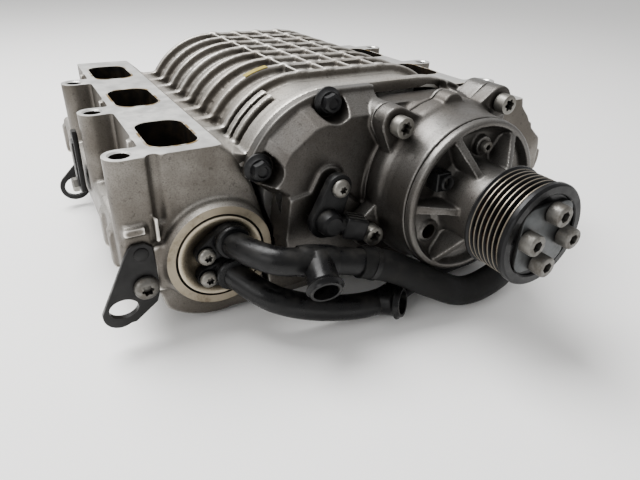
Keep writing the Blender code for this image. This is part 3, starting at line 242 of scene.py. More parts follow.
def prism(outline, start, end, axis="Y", finish=None, name="prism", bevel=0.0, bevel_steps=2):
    """Extrude a closed outline along an axis; bevel rounds its two end rims."""
    shape = bmesh.new()
    face = shape.faces.new([shape.verts.new(place(axis, u, v, start)) for u, v in outline])
    grown = bmesh.ops.extrude_face_region(shape, geom=[face])
    moved = [g for g in grown["geom"] if isinstance(g, bmesh.types.BMVert)]
    bmesh.ops.translate(shape, vec=place(axis, 0, 0, end - start), verts=moved)
    if bevel:
        rims = [e for e in shape.edges if len({round(place_along(axis, v.co), 4) for v in e.verts}) == 1]
        bmesh.ops.bevel(shape, geom=rims, offset=bevel, offset_type="OFFSET", segments=bevel_steps,
                        profile=0.5, affect="EDGES", material=-1, clamp_overlap=True)
    return finish_mesh(name, shape, finish)


def place_along(axis, point):
    """How far along an axis a point lies."""
    return point["XYZ".index(axis)]


def block(low, high, finish=None, name="block", bevel=0.0):
    """A box between two corners, with rounded edges where asked."""
    shape = bmesh.new()
    bmesh.ops.create_cube(shape, size=1.0)
    size = Vector(high) - Vector(low)
    bmesh.ops.scale(shape, vec=size, verts=shape.verts)
    bmesh.ops.translate(shape, vec=(Vector(low) + Vector(high)) / 2, verts=shape.verts)
    if bevel:
        bmesh.ops.bevel(shape, geom=shape.edges[:], offset=bevel, offset_type="OFFSET", segments=3,
                        profile=0.5, affect="EDGES", material=-1, clamp_overlap=True)
    return finish_mesh(name, shape, finish)


def turned(profile, centre, axis="Y", steps=64, finish=None, name="turned"):
    """Spin a closed profile of (radius, distance along the axis) points."""
    shape = bmesh.new()
    points = [shape.verts.new((radius, along, 0)) for radius, along in profile]
    edges = []
    for a, b in zip(points, points[1:] + points[:1]):
        if a.co.x > 0 or b.co.x > 0:
            edges.append(shape.edges.new((a, b)))
    bmesh.ops.spin(shape, geom=points + edges, cent=(0, 0, 0), axis=(0, 1, 0), dvec=(0, 0, 0),
                   angle=math.tau, steps=steps, use_merge=True)
    turns = {"X": Matrix.Rotation(-math.pi / 2, 4, "Z"), "Y": Matrix.Identity(4),
             "Z": Matrix.Rotation(math.pi / 2, 4, "X")}
    move = Matrix.Translation(Vector(centre)) @ turns[axis]
    bmesh.ops.transform(shape, matrix=move, verts=shape.verts)
    return finish_mesh(name, shape, finish)


def rod(radius, centre, start, end, axis="Y", steps=48, finish=None, name="rod"):
    """A round bar between two distances along an axis."""
    profile = [(0, start), (radius, start), (radius, end), (0, end)]
    return turned(profile, centre, axis, steps, finish, name)


def combine(target, tools, operation):
    """Boolean the tools into the target; cut faces keep the tool's own finish."""
    for tool in tools:
        step = target.modifiers.new(operation, "BOOLEAN")
        step.object = tool
        step.operation = operation
        step.solver = "EXACT"
        step.material_mode = "TRANSFER"
        apply_modifiers(target)
        bpy.data.objects.remove(tool)
    return target


def unite(target, *tools):
    """Add the tools to the target."""
    return combine(target, tools, "UNION")


def cut(target, *tools):
    """Take the tools out of the target."""
    return combine(target, tools, "DIFFERENCE")


def join(name, *parts):
    """Put separate solids in one object, without a Boolean."""
    shape = bmesh.new()
    for part in parts:
        shape.from_mesh(part.data)
    finish = part_finish(parts[0])
    for part in parts:
        bpy.data.objects.remove(part)
    return finish_mesh(name, shape, finish)


def part_finish(part):
    """The first finish of a piece, or none."""
    return part.data.materials[0] if part.data.materials else None


def apply_modifiers(target):
    """Make a piece's modifiers part of its mesh."""
    graph = bpy.context.evaluated_depsgraph_get()
    mesh = bpy.data.meshes.new_from_object(target.evaluated_get(graph))
    target.modifiers.clear()
    target.data = mesh


def cast_over(target, voxel, rounds, share=1.0):
    """Give a solid the soft edges and filled corners of a casting."""
    remesh = target.modifiers.new("cells", "REMESH")
    remesh.mode = "VOXEL"
    remesh.voxel_size = voxel
    soft = target.modifiers.new("soft", "SMOOTH")
    soft.factor = 0.5
    soft.iterations = rounds
    if share < 1:
        thin = target.modifiers.new("thin", "DECIMATE")
        thin.ratio = share
    apply_modifiers(target)
    return target


def arc(centre, radius, first, last, steps):
    """Points on an arc, angles in degrees from +u towards +v."""
    points = []
    for i in range(steps + 1):
        angle = math.radians(first + (last - first) * i / steps)
        points.append((centre[0] + radius * math.cos(angle), centre[1] + radius * math.sin(angle)))
    return points


def rounded_box(centre, half_u, half_v, radius, steps=6):
    """Outline of a rectangle with round corners."""
    points = []
    for quarter, (su, sv) in enumerate(((1, 1), (-1, 1), (-1, -1), (1, -1))):
        corner = (centre[0] + su * (half_u - radius), centre[1] + sv * (half_v - radius))
        points += arc(corner, radius, 90 * quarter, 90 * quarter + 90, steps)
    return points


def capsule(first, first_radius, last, last_radius, steps=16):
    """Outline round two circles of different size."""
    run = Vector(last) - Vector(first)
    heading = math.degrees(math.atan2(run.y, run.x))
    lean = math.degrees(math.acos((first_radius - last_radius) / run.length))
    points = arc(first, first_radius, heading + lean, heading + 360 - lean, steps)
    return points + arc(last, last_radius, heading - lean, heading + lean, steps)


def polar(centre, radius, degrees):
    """A point at a distance and an angle from a centre."""
    angle = math.radians(degrees)
    return centre[0] + radius * math.cos(angle), centre[1] + radius * math.sin(angle)


def smooth_route(points, per_span=8):
    """Catmull-Rom points through a short list of route points."""
    knots = [Vector(p) for p in points]
    knots = [2 * knots[0] - knots[1]] + knots + [2 * knots[-1] - knots[-2]]
    route = []
    for i in range(1, len(knots) - 2):
        before, here, there, after = knots[i - 1:i + 3]
        for step in range(per_span):
            t = step / per_span
            route.append(0.5 * (2 * here + (there - before) * t
                                + (2 * before - 5 * here + 4 * there - after) * t ** 2
                                + (3 * here - before - 3 * there + after) * t ** 3))
    route.append(knots[-2])
    return route


def pipe(route, radius, finish=None, name="pipe", resolution=10, radii=None):
    """A round bar along a smooth route; radii scales it at each point."""
    curve = bpy.data.curves.new(name, "CURVE")
    curve.dimensions = "3D"
    curve.bevel_depth = radius
    curve.bevel_resolution = resolution
    curve.use_fill_caps = True
    line = curve.splines.new("POLY")
    line.points.add(len(route) - 1)
    for i, (spot, point) in enumerate(zip(line.points, route)):
        spot.co = (*point, 1.0)
        if radii:
            spot.radius = radii[i]
    source = bpy.data.objects.new(name, curve)
    bpy.context.scene.collection.objects.link(source)
    graph = bpy.context.evaluated_depsgraph_get()
    mesh = bpy.data.meshes.new_from_object(source.evaluated_get(graph))
    bpy.data.objects.remove(source)
    shape = bmesh.new()
    shape.from_mesh(mesh)
    return finish_mesh(name, shape, finish)


def done(name, target, body, slot, *nodes, sharp=35):
    """Turn a finished piece to metres, shade it and hand it to the frame."""
    target.name = name
    target.data.name = name
    target.data.transform(Matrix.Scale(MM, 4))
    target.data.shade_smooth()
    target.data.set_sharp_from_angle(angle=math.radians(sharp))
    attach(target, body)
    if nodes:
        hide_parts(*nodes)
    return target


# Materials

def add(tree, kind, values=None, links=None, **settings):
    """Add a node with its settings, socket values and incoming links."""
    made = tree.nodes.new(kind)
    for key, value in settings.items():
        setattr(made, key, value)
    for key, value in (values or {}).items():
        made.inputs[key].default_value = value
    for key, source in (links or {}).items():
        tree.links.new(source, made.inputs[key])
    return made


def begin(name, roughness, metallic, **sockets):
    """A Principled material, its tree, its shader and its object coordinates."""
    made = bpy.data.materials.new(name)
    made.use_nodes = True
    tree = made.node_tree
    shader = tree.nodes["Principled BSDF"]
    shader.inputs["Roughness"].default_value = roughness
    shader.inputs["Metallic"].default_value = metallic
    for key, value in sockets.items():
        shader.inputs[key.replace("_", " ")].default_value = value
    coords = add(tree, "ShaderNodeTexCoord").outputs["Object"]
    return made, tree, shader, coords


def pattern(tree, coords, size_mm, detail=3.0, rough=0.5, stretch=(1, 1, 1)):
    """Noise whose features are about size_mm across."""
    mapped = add(tree, "ShaderNodeMapping", {"Scale": stretch}, {"Vector": coords}).outputs["Vector"]
    return add(tree, "ShaderNodeTexNoise",
               {"Scale": 1 / (size_mm * MM), "Detail": detail, "Roughness": rough},
               {"Vector": mapped}).outputs["Fac"]


def ramp(tree, source, low, high, from_value=0.0, to_value=1.0):
    """Stretch a grey value between two limits."""
    return add(tree, "ShaderNodeMapRange",
               {"From Min": low, "From Max": high, "To Min": from_value, "To Max": to_value},
               {"Value": source}, interpolation_type="SMOOTHSTEP").outputs["Result"]


def mix(tree, share, first, second, blend_type="MIX"):
    """Mix two colours; each is a colour or another node's output."""
    node = add(tree, "ShaderNodeMix", None, {"Factor": share}, data_type="RGBA",
               blend_type=blend_type)
    for index, colour in ((6, first), (7, second)):
        if isinstance(colour, bpy.types.NodeSocket):
            tree.links.new(colour, node.inputs[index])
        else:
            node.inputs[index].default_value = (*colour, 1.0)
    return node.outputs[2]


def times(tree, first, second):
    """Multiply a grey value by a number or by another one."""
    node = add(tree, "ShaderNodeMath", None, {0: first}, operation="MULTIPLY")
    if isinstance(second, bpy.types.NodeSocket):
        tree.links.new(second, node.inputs[1])
    else:
        node.inputs[1].default_value = second
    return node.outputs[0]


def corners(tree, reach_mm):
    """How open a spot is: near 1 on open faces, near 0 in corners and pockets."""
    return add(tree, "ShaderNodeAmbientOcclusion", {"Distance": reach_mm * MM}, samples=6).outputs["AO"]


def edges(tree, low=0.53, high=0.6):
    """Where the surface turns outwards sharply: a mask for edges that wear bright on some finishes and take a
    painted highlight on the castings.
    """
    pointy = add(tree, "ShaderNodeNewGeometry").outputs["Pointiness"]
    return ramp(tree, pointy, low, high)


def bump(tree, shader, height, depth_mm, strength=1.0, under=None):
    """Raise a pattern by a depth, over another bump where one is given."""
    links = {"Height": height}
    if under is not None:
        links["Normal"] = under
    made = add(tree, "ShaderNodeBump", {"Strength": strength, "Distance": depth_mm * MM}, links)
    tree.links.new(made.outputs["Normal"], shader.inputs["Normal"])
    return made.outputs["Normal"]


def cast_aluminium(name, bare, stain, grime_and_shade, roughness=0.46, grain_mm=0.9, stain_mm=48.0, film=0.55,
                   shade=0.85, corner_shade_and_grime=0.85):
    """Cast aluminium: fine-grained, stained in soft patches, with painted shade down its sides, painted shade
    and grime in its corners, and painted highlight with some wear on its sharp edges.
    """
    made, tree, shader, coords = begin(name, roughness, 0.8)
    patches = pattern(tree, coords, stain_mm, 5.0, 0.55)
    colour = mix(tree, ramp(tree, patches, 0.38, 0.68, 0.0, film), bare, stain)
    normal = add(tree, "ShaderNodeTexCoord").outputs["Normal"]
    up = add(tree, "ShaderNodeSeparateXYZ", None, {"Vector": normal}).outputs["Z"]
    # Painted shade: faces that turn away from straight up are darkened towards a dark stain by the share
    # shade, a little patchy.
    painted_side_shade = times(tree, ramp(tree, up, 0.15, 0.95, shade, 0.0), ramp(tree, patches, 0.2, 0.6, 0.75, 1.0))
    colour = mix(tree, painted_side_shade, colour, tuple(c * 0.3 for c in stain))
    grain = pattern(tree, coords, grain_mm, 3.0, 0.65)
    colour = mix(tree, ramp(tree, grain, 0.4, 0.72, 0.0, 0.5), colour, tuple(c * 0.3 for c in stain))
    pits = pattern(tree, coords, grain_mm * 4.0, 2.0, 0.5)
    colour = mix(tree, ramp(tree, pits, 0.62, 0.74, 0.0, 0.35), colour, grime_and_shade)
    # Painted shade with grime: corners and pockets darkened towards the grime colour by ambient occlusion.
    open_share = corners(tree, 12.0)
    colour = mix(tree, ramp(tree, open_share, 0.35, 0.93, corner_shade_and_grime, 0.0), colour, grime_and_shade)
    # Painted highlight with some wear: sharp outward edges lightened towards a near-white aluminium.
    edge_highlight_and_wear = tuple(min(1.0, c * 1.9 + 0.08) for c in bare)
    colour = mix(tree, times(tree, edges(tree, 0.52, 0.58), 0.8), colour, edge_highlight_and_wear)
    tree.links.new(colour, shader.inputs["Base Color"])
    rough = ramp(tree, patches, 0.3, 0.7, roughness - 0.08, roughness + 0.12)
    tree.links.new(rough, shader.inputs["Roughness"])
    first = bump(tree, shader, grain, 0.16, 0.5)
    bump(tree, shader, pattern(tree, coords, 7.0, 2.0, 0.5), 0.22, 0.35, first)
    return made


def machined_aluminium(name, colour, stain, roughness=0.34, stained=0.25):
    """Milled face: bright, faintly lined by the cutter, with dull oil marks."""
    made, tree, shader, coords = begin(name, roughness, 0.85)
    marks = pattern(tree, coords, 16.0, 6.0, 0.7)
    base = mix(tree, ramp(tree, marks, 0.52, 0.78, 0.0, stained), colour, stain)
    fine = pattern(tree, coords, 2.2, 3.0, 0.6)
    base = mix(tree, ramp(tree, fine, 0.35, 0.8, 0.0, 0.16), base, tuple(c * 0.5 for c in colour))
    # Painted shade: corners darkened towards the stain colour by ambient occlusion.
    base = mix(tree, ramp(tree, corners(tree, 5.0), 0.4, 0.95, 0.6, 0.0), base, stain)
    tree.links.new(base, shader.inputs["Base Color"])
    lines = pattern(tree, coords, 40.0, 2.0, 0.5, (1.0, 60.0, 60.0))
    tree.links.new(ramp(tree, marks, 0.3, 0.8, roughness - 0.06, roughness + 0.2),
                   shader.inputs["Roughness"])
    bump(tree, shader, lines, 0.05, 0.3)
    return made


def shaded_oily_wall(name):
    """Port and bore walls: aluminium under a film of old oil, painted nearly black as the shade inside every
    hollow.
    """
    made, tree, shader, coords = begin(name, 0.38, 0.4)
    film = pattern(tree, coords, 9.0, 4.0, 0.6)
    colour = mix(tree, ramp(tree, film, 0.35, 0.75), srgb("#0c0a08"), srgb("#2c2318"))
    tree.links.new(colour, shader.inputs["Base Color"])
    bump(tree, shader, film, 0.2, 0.4)
    return made


def moulded_nylon(name, colour, roughness=0.32, dust=0.05):
    """Glass-filled nylon: near black with a soft gloss, and dust on what faces up."""
    made, tree, shader, coords = begin(name, roughness, 0.0, Specular_IOR_Level=0.2)
    smears = pattern(tree, coords, 12.0, 5.0, 0.65)
    normal = add(tree, "ShaderNodeNewGeometry").outputs["Normal"]
    up = add(tree, "ShaderNodeSeparateXYZ", None, {"Vector": normal}).outputs["Z"]
    settled = times(tree, ramp(tree, up, 0.2, 1.0, 0.0, dust), ramp(tree, smears, 0.4, 0.7))
    base = mix(tree, settled, colour, srgb("#8b867d"))
    base = mix(tree, times(tree, edges(tree, 0.54, 0.66), 0.08), base, srgb("#77746e"))
    tree.links.new(base, shader.inputs["Base Color"])
    tree.links.new(ramp(tree, smears, 0.3, 0.7, roughness - 0.1, roughness + 0.16),
                   shader.inputs["Roughness"])
    bump(tree, shader, pattern(tree, coords, 0.8, 2.0, 0.5), 0.05, 0.5)
    return made


def hose_rubber(name, colour):
    """Extruded rubber hose: matt black with a faint cloth mark and pale bloom."""
    made, tree, shader, coords = begin(name, 0.55, 0.0, Specular_IOR_Level=0.15)
    bloom = pattern(tree, coords, 18.0, 5.0, 0.7)
    base = mix(tree, ramp(tree, bloom, 0.45, 0.75, 0.0, 0.12), colour, srgb("#4d4a46"))
    tree.links.new(base, shader.inputs["Base Color"])
    tree.links.new(ramp(tree, bloom, 0.3, 0.7, 0.5, 0.74), shader.inputs["Roughness"])
    bump(tree, shader, pattern(tree, coords, 1.4, 2.0, 0.5), 0.08, 0.6)
    return made


def plated_steel(name, colour, film, roughness=0.36, film_share=0.35):
    """Zinc-plated screw: grey and satin, with a brown film and painted shade in its recess."""
    made, tree, shader, coords = begin(name, roughness, 0.85)
    stains = pattern(tree, coords, 5.0, 4.0, 0.65)
    base = mix(tree, ramp(tree, stains, 0.42, 0.7, 0.0, film_share), colour, film)
    # Painted shade: the recess and corners darkened nearly black by ambient occlusion.
    base = mix(tree, ramp(tree, corners(tree, 3.0), 0.3, 0.9, 0.88, 0.0), base, srgb("#14100c"))
    base = mix(tree, times(tree, edges(tree, 0.52, 0.62), 0.5), base,
               tuple(min(1.0, c * 1.6) for c in colour))
    tree.links.new(base, shader.inputs["Base Color"])
    tree.links.new(ramp(tree, stains, 0.3, 0.7, roughness - 0.08, roughness + 0.2),
                   shader.inputs["Roughness"])
    bump(tree, shader, pattern(tree, coords, 0.7, 3.0, 0.6), 0.06, 0.5)
    return made


def coated_steel(name, colour, worn, roughness=0.42, wear=0.55):
    """Black coated steel: dull, with bare metal where its edges rub."""
    made, tree, shader, coords = begin(name, roughness, 0.2, Specular_IOR_Level=0.3)
    cloud = pattern(tree, coords, 8.0, 5.0, 0.7)
    base = mix(tree, ramp(tree, cloud, 0.4, 0.75, 0.0, 0.45), colour, tuple(c * 2.2 for c in colour))
    rubbed = times(tree, edges(tree, 0.55, 0.66), ramp(tree, cloud, 0.3, 0.6, 0.2, wear))
    base = mix(tree, rubbed, base, worn)
    tree.links.new(base, shader.inputs["Base Color"])
    tree.links.new(ramp(tree, cloud, 0.3, 0.7, roughness - 0.1, roughness + 0.18),
                   shader.inputs["Roughness"])
    bump(tree, shader, pattern(tree, coords, 0.9, 3.0, 0.6), 0.07, 0.5)
    return made


def grooved_pulley(name, colour, axis):
    """Pulley coating: black, rubbed bright on the crests, rust-brown in the roots."""
    made, tree, shader, coords = begin(name, 0.34, 0.75)
    shifted = add(tree, "ShaderNodeMapping", {"Location": (-axis.x * MM, 0, -axis.z * MM)},
                  {"Vector": coords}).outputs["Vector"]
    flat = add(tree, "ShaderNodeVectorMath", {1: (1, 0, 1)}, {0: shifted}, operation="MULTIPLY")
    radius = add(tree, "ShaderNodeVectorMath", None, {0: flat.outputs[0]},
                 operation="LENGTH").outputs["Value"]
    crest = ramp(tree, radius, (pulley_radius - 1.5) * MM, (pulley_radius - 1.22) * MM)
    rim = ramp(tree, radius, (pulley_radius - 0.75) * MM, (pulley_radius - 0.5) * MM, 1.0, 0.0)
    root = ramp(tree, radius, (pulley_radius - 3.9) * MM, (pulley_radius - 2.4) * MM, 1.0, 0.0)
    belt = ramp(tree, radius, (pulley_radius - 4.2) * MM, (pulley_radius - 4.0) * MM)
    cloud = pattern(tree, coords, 6.0, 5.0, 0.7)
    along = add(tree, "ShaderNodeSeparateXYZ", None, {"Vector": coords}).outputs["Y"]
    grooved = times(tree, ramp(tree, along, (pulley_low.y + 4.2) * MM, (pulley_low.y + 4.8) * MM),
                    ramp(tree, along, (pulley_high.y - 3.2) * MM, (pulley_high.y - 2.6) * MM, 1.0, 0.0))
    rust = times(tree, times(tree, root, belt), ramp(tree, cloud, 0.45, 0.62))
    rust = times(tree, rust, grooved)
    base = mix(tree, ramp(tree, cloud, 0.35, 0.75, 0.0, 0.4), colour, tuple(c * 2.0 for c in colour))
    base = mix(tree, times(tree, rust, 0.75), base, srgb("#5a3420"))
    worn = times(tree, times(tree, crest, rim), grooved)
    base = mix(tree, times(tree, worn, 0.65), base, srgb("#968c7c"))
    base = mix(tree, times(tree, edges(tree, 0.54, 0.62), 0.25), base, srgb("#a7a299"))
    tree.links.new(base, shader.inputs["Base Color"])
    tree.links.new(ramp(tree, cloud, 0.3, 0.7, 0.26, 0.5), shader.inputs["Roughness"])
    bump(tree, shader, pattern(tree, coords, 1.2, 3.0, 0.6), 0.06, 0.4)
    return made


def plain_rubber(name):
    """Moulded seal rubber: black and matt."""
    made, tree, shader, coords = begin(name, 0.7, 0.0)
    cloud = pattern(tree, coords, 4.0, 3.0)
    tree.links.new(mix(tree, cloud, srgb("#0b0b0b"), srgb("#1f1e1d")), shader.inputs["Base Color"])
    return made


def turned_steel(name, colour, roughness=0.3):
    """Ground or turned steel of shafts, gears and bearings, with a film of oil."""
    made, tree, shader, coords = begin(name, roughness, 1.0)
    film = pattern(tree, coords, 7.0, 4.0)
    tree.links.new(mix(tree, ramp(tree, film, 0.4, 0.7, 0.0, 0.5), colour,
                       tuple(c * 0.45 for c in colour)), shader.inputs["Base Color"])
    bump(tree, shader, pattern(tree, coords, 20.0, 2.0, 0.5, (1, 50, 1)), 0.02, 0.4)
    return made


def finned_core(name, colour):
    """Cooler core: thin brazed fins, 1.6 mm apart, drawn as light lines with painted shade in the dark gaps
    between them.
    """
    made, tree, shader, coords = begin(name, 0.5, 0.8)
    fins = add(tree, "ShaderNodeTexWave", {"Scale": 1 / (1.6 * MM) / 20, "Distortion": 0.4},
               {"Vector": coords}, bands_direction="Y").outputs["Fac"]
    # Painted shade: the dark lines stand for the shaded gaps between fins.
    tree.links.new(mix(tree, fins, tuple(c * 0.12 for c in colour), colour), shader.inputs["Base Color"])
    bump(tree, shader, fins, 0.6, 0.8)
    return made


def rusted_steel(name):
    """Rusted bolt: brown and orange, rough and pitted."""
    made, tree, shader, coords = begin(name, 0.85, 0.1)
    crust = pattern(tree, coords, 2.4, 6.0, 0.7)
    tree.links.new(mix(tree, ramp(tree, crust, 0.35, 0.65), srgb("#2a1710"), srgb("#74452c")),
                   shader.inputs["Base Color"])
    bump(tree, shader, crust, 0.4, 0.8)
    return made


def residue(name, colour, bare=None):
    """A thin glossy film of sealant or paint; with a bare colour it has worn off in patches."""
    made, tree, shader, coords = begin(name, 0.4, 0.0)
    cloud = pattern(tree, coords, 3.0, 4.0, 0.6)
    base = mix(tree, cloud, colour, tuple(c * 0.3 for c in colour))
    if bare is not None:
        worn = pattern(tree, coords, 14.0, 4.0, 0.6)
        base = mix(tree, ramp(tree, worn, 0.42, 0.54), base, bare)
    tree.links.new(base, shader.inputs["Base Color"])
    bump(tree, shader, cloud, 0.15, 0.6)
    return made


def plain_floor(name, colour):
    """Matt painted studio board, with a very faint mottle."""
    made, tree, shader, coords = begin(name, 0.75, 0.0)
    cloud = pattern(tree, coords, 90.0, 2.0)
    tree.links.new(mix(tree, times(tree, cloud, 0.06), colour, tuple(c * 0.9 for c in colour)),
                   shader.inputs["Base Color"])
    return made


bank_of_finishes = {}


def finishes():
    """Every finish by name, made once from the settings."""
    if "cast" in bank_of_finishes:
        return bank_of_finishes
    scene = bpy.context.scene
    casting = scene.supercharger_casting
    hardware = scene.supercharger_hardware
    plastics = scene.supercharger_plastics
    grime_and_shade = tuple(casting.grime_and_shade)
    brown = srgb("#6e5b3f")
    bank_of_finishes.update({
        "cast": cast_aluminium("sand_cast_aluminium", tuple(casting.bare), tuple(casting.stain), grime_and_shade),
        "cast_dark": cast_aluminium("oiled_cast_aluminium", tuple(casting.dark_bare),
                                    tuple(casting.dark_stain), grime_and_shade, 0.38, 0.8, 44.0, 0.6, 0.72),
        "cast_nose": cast_aluminium("cast_nose_aluminium", tuple(casting.dark_bare),
                                    tuple(casting.dark_stain), grime_and_shade, 0.38, 0.8, 44.0, 0.5, 0.4, 0.5),
        "machined": machined_aluminium("milled_aluminium", tuple(casting.machined), brown),
        "machined_brown": machined_aluminium("milled_aluminium_browned", srgb("#8d8473"),
                                             srgb("#4e4230"), 0.42, 0.95),
        "port": shaded_oily_wall("shaded_oily_port_wall"),
        "cap": cast_aluminium("chromated_cap", tuple(hardware.cap), srgb("#8a7f69"), srgb("#2f281d"),
                              0.42, 0.8, 16.0, 0.5, 0.3),
        "nylon": moulded_nylon("glass_filled_nylon", tuple(plastics.nylon)),
        "nylon_dull": moulded_nylon("dusty_nylon", tuple(plastics.nylon), 0.46, 0.12),
        "hose": hose_rubber("extruded_hose_rubber", tuple(plastics.hose)),
        "rubber": plain_rubber("seal_rubber"),
        "zinc": plated_steel("zinc_plated_steel", tuple(hardware.zinc), srgb("#5f564a")),
        "zinc_dull": plated_steel("dulled_zinc_steel", srgb("#64625e"), srgb("#40382f"), 0.42, 0.6),
        "black_bolt": coated_steel("phosphated_steel", tuple(hardware.black), srgb("#85827d")),
        "bracket": coated_steel("electrocoated_steel", srgb("#0d0c0c"), srgb("#7d776d"), 0.4, 0.35),
        "pulley": grooved_pulley("coated_pulley_steel", tuple(hardware.pulley), drive_axis),
        "pulley_plate": machined_aluminium("brushed_hub_steel", srgb("#4d4f50"), srgb("#2e2923"), 0.4, 0.5),
        "steel": turned_steel("ground_steel", srgb("#b8b6b2")),
        "brass": turned_steel("machined_brass", srgb("#b9954f")),
        "rotor": cast_aluminium("coated_rotor_aluminium", srgb("#77777a"), srgb("#4c4b4b"), grime_and_shade, 0.55),
        "core": finned_core("brazed_cooler_core", srgb("#9a9894")),
        "copper": turned_steel("enamelled_copper", srgb("#8a3f22")),
        "rust": rusted_steel("rusted_steel"),
        "sealant": residue("old_sealant", srgb("#80621f"), srgb("#a9a69f")),
        "paint": residue("yellow_inspection_paint", srgb("#b5a13a")),
    })
    return bank_of_finishes


# Main castings

def stadium(radius, steps=48):
    """Outline of constant distance round both rotor axes."""
    points = arc((axis_x, axis_z), radius, -90, 90, steps)
    return points + arc((-axis_x, axis_z), radius, 90, 270, steps)


def gear_outline(radius, side_x, steps=24):
    """Gear case outline: round at the top, narrow between the cooler rings."""
    low = [(axis_x, axis_z - radius), (axis_x + 26, axis_z - radius + 10), (side_x, axis_z - 30),
           (side_x, axis_z + 2)]
    right = low + arc((axis_x, axis_z), radius, 16, 90, steps)
    return right + [(-x, z) for x, z in reversed(right)]


def loft(first, first_y, last, last_y, finish=None):
    """Skin between two outlines of equal length at two depths."""
    shape = bmesh.new()
    rows = [[shape.verts.new((u, y, v)) for u, v in outline]
            for outline, y in ((first, first_y), (last, last_y))]
    count = len(first)
    for i in range(count):
        j = (i + 1) % count
        shape.faces.new((rows[0][i], rows[0][j], rows[1][j], rows[1][i]))
    for row in rows:
        shape.faces.new(row)
    return finish_mesh("loft", shape, finish)


def bank_outline(side, top):
    """Cross-section of an intake bank; the left one has a ledge, the right one slopes out."""
    tube = arc((cooler_x, cooler_z), cooler_z - 3.5, -45, -100, 16)
    inner = [(91, 3.5), (89, 6.5), (86, 6.5), (84, 71), (91, 94), (100, 114), (112, top)]
    if side < 0:
        outer = [(153, top), (153, 77), (171.5, 74.5), (174, 72), (174, 48), (158, 42)]
    else:
        outer = [(147, top), (149.5, 115), (158.5, 106), (165, 96), (179, 84.5), (181, 76),
                 (181, 49), (172, 42), (160, 40)]
    return [(side * x, z) for x, z in outer + tube + inner]


def left_bank_details():
    """Pads, ledges and a fin that stand on the left bank's front and side."""
    front = joint_y + GAP
    pads = [
        block((-171.5, front - 2.4, 56), (-157, front + 6, 80)),
        block((-171.5, front - 6.0, 77), (-159.5, front + 6, 82)),
        block((-156, front - 5.2, 36), (-149, front + 6, 67.5)),
        block((-154, front - 6.4, 71), (-151.6, front + 6, 87)),
    ]
    for y in (-101, -8, 84):
        pads.append(block((-156.2, y, 76), (-152, y + 6, 121)))
    for y, length in ((-112, 11), (-84, 12), (26, 12), (62, 12), (112, 12)):
        pads.append(block((-176.6, y, 45), (-170, y + length, 70)))
    return pads


def right_bank_details():
    """Lugs and steps on the right bank's sloping outside."""
    pads = [
        prism([(178, 76), (192, 69.5), (192.4, 62), (190, 52), (184, 48.5), (176, 49)],
              joint_y + 6, joint_y + 30),
    ]
    step = [(160, 100), (171, 96), (182, 86), (182, 70), (160, 70)]
    for y in (joint_y + 44, 2, 92):
        pads.append(prism(step, y, y + 8))
    pads.append(block((152, joint_y + 1, 84), (166, joint_y + 14, 100)))
    return pads


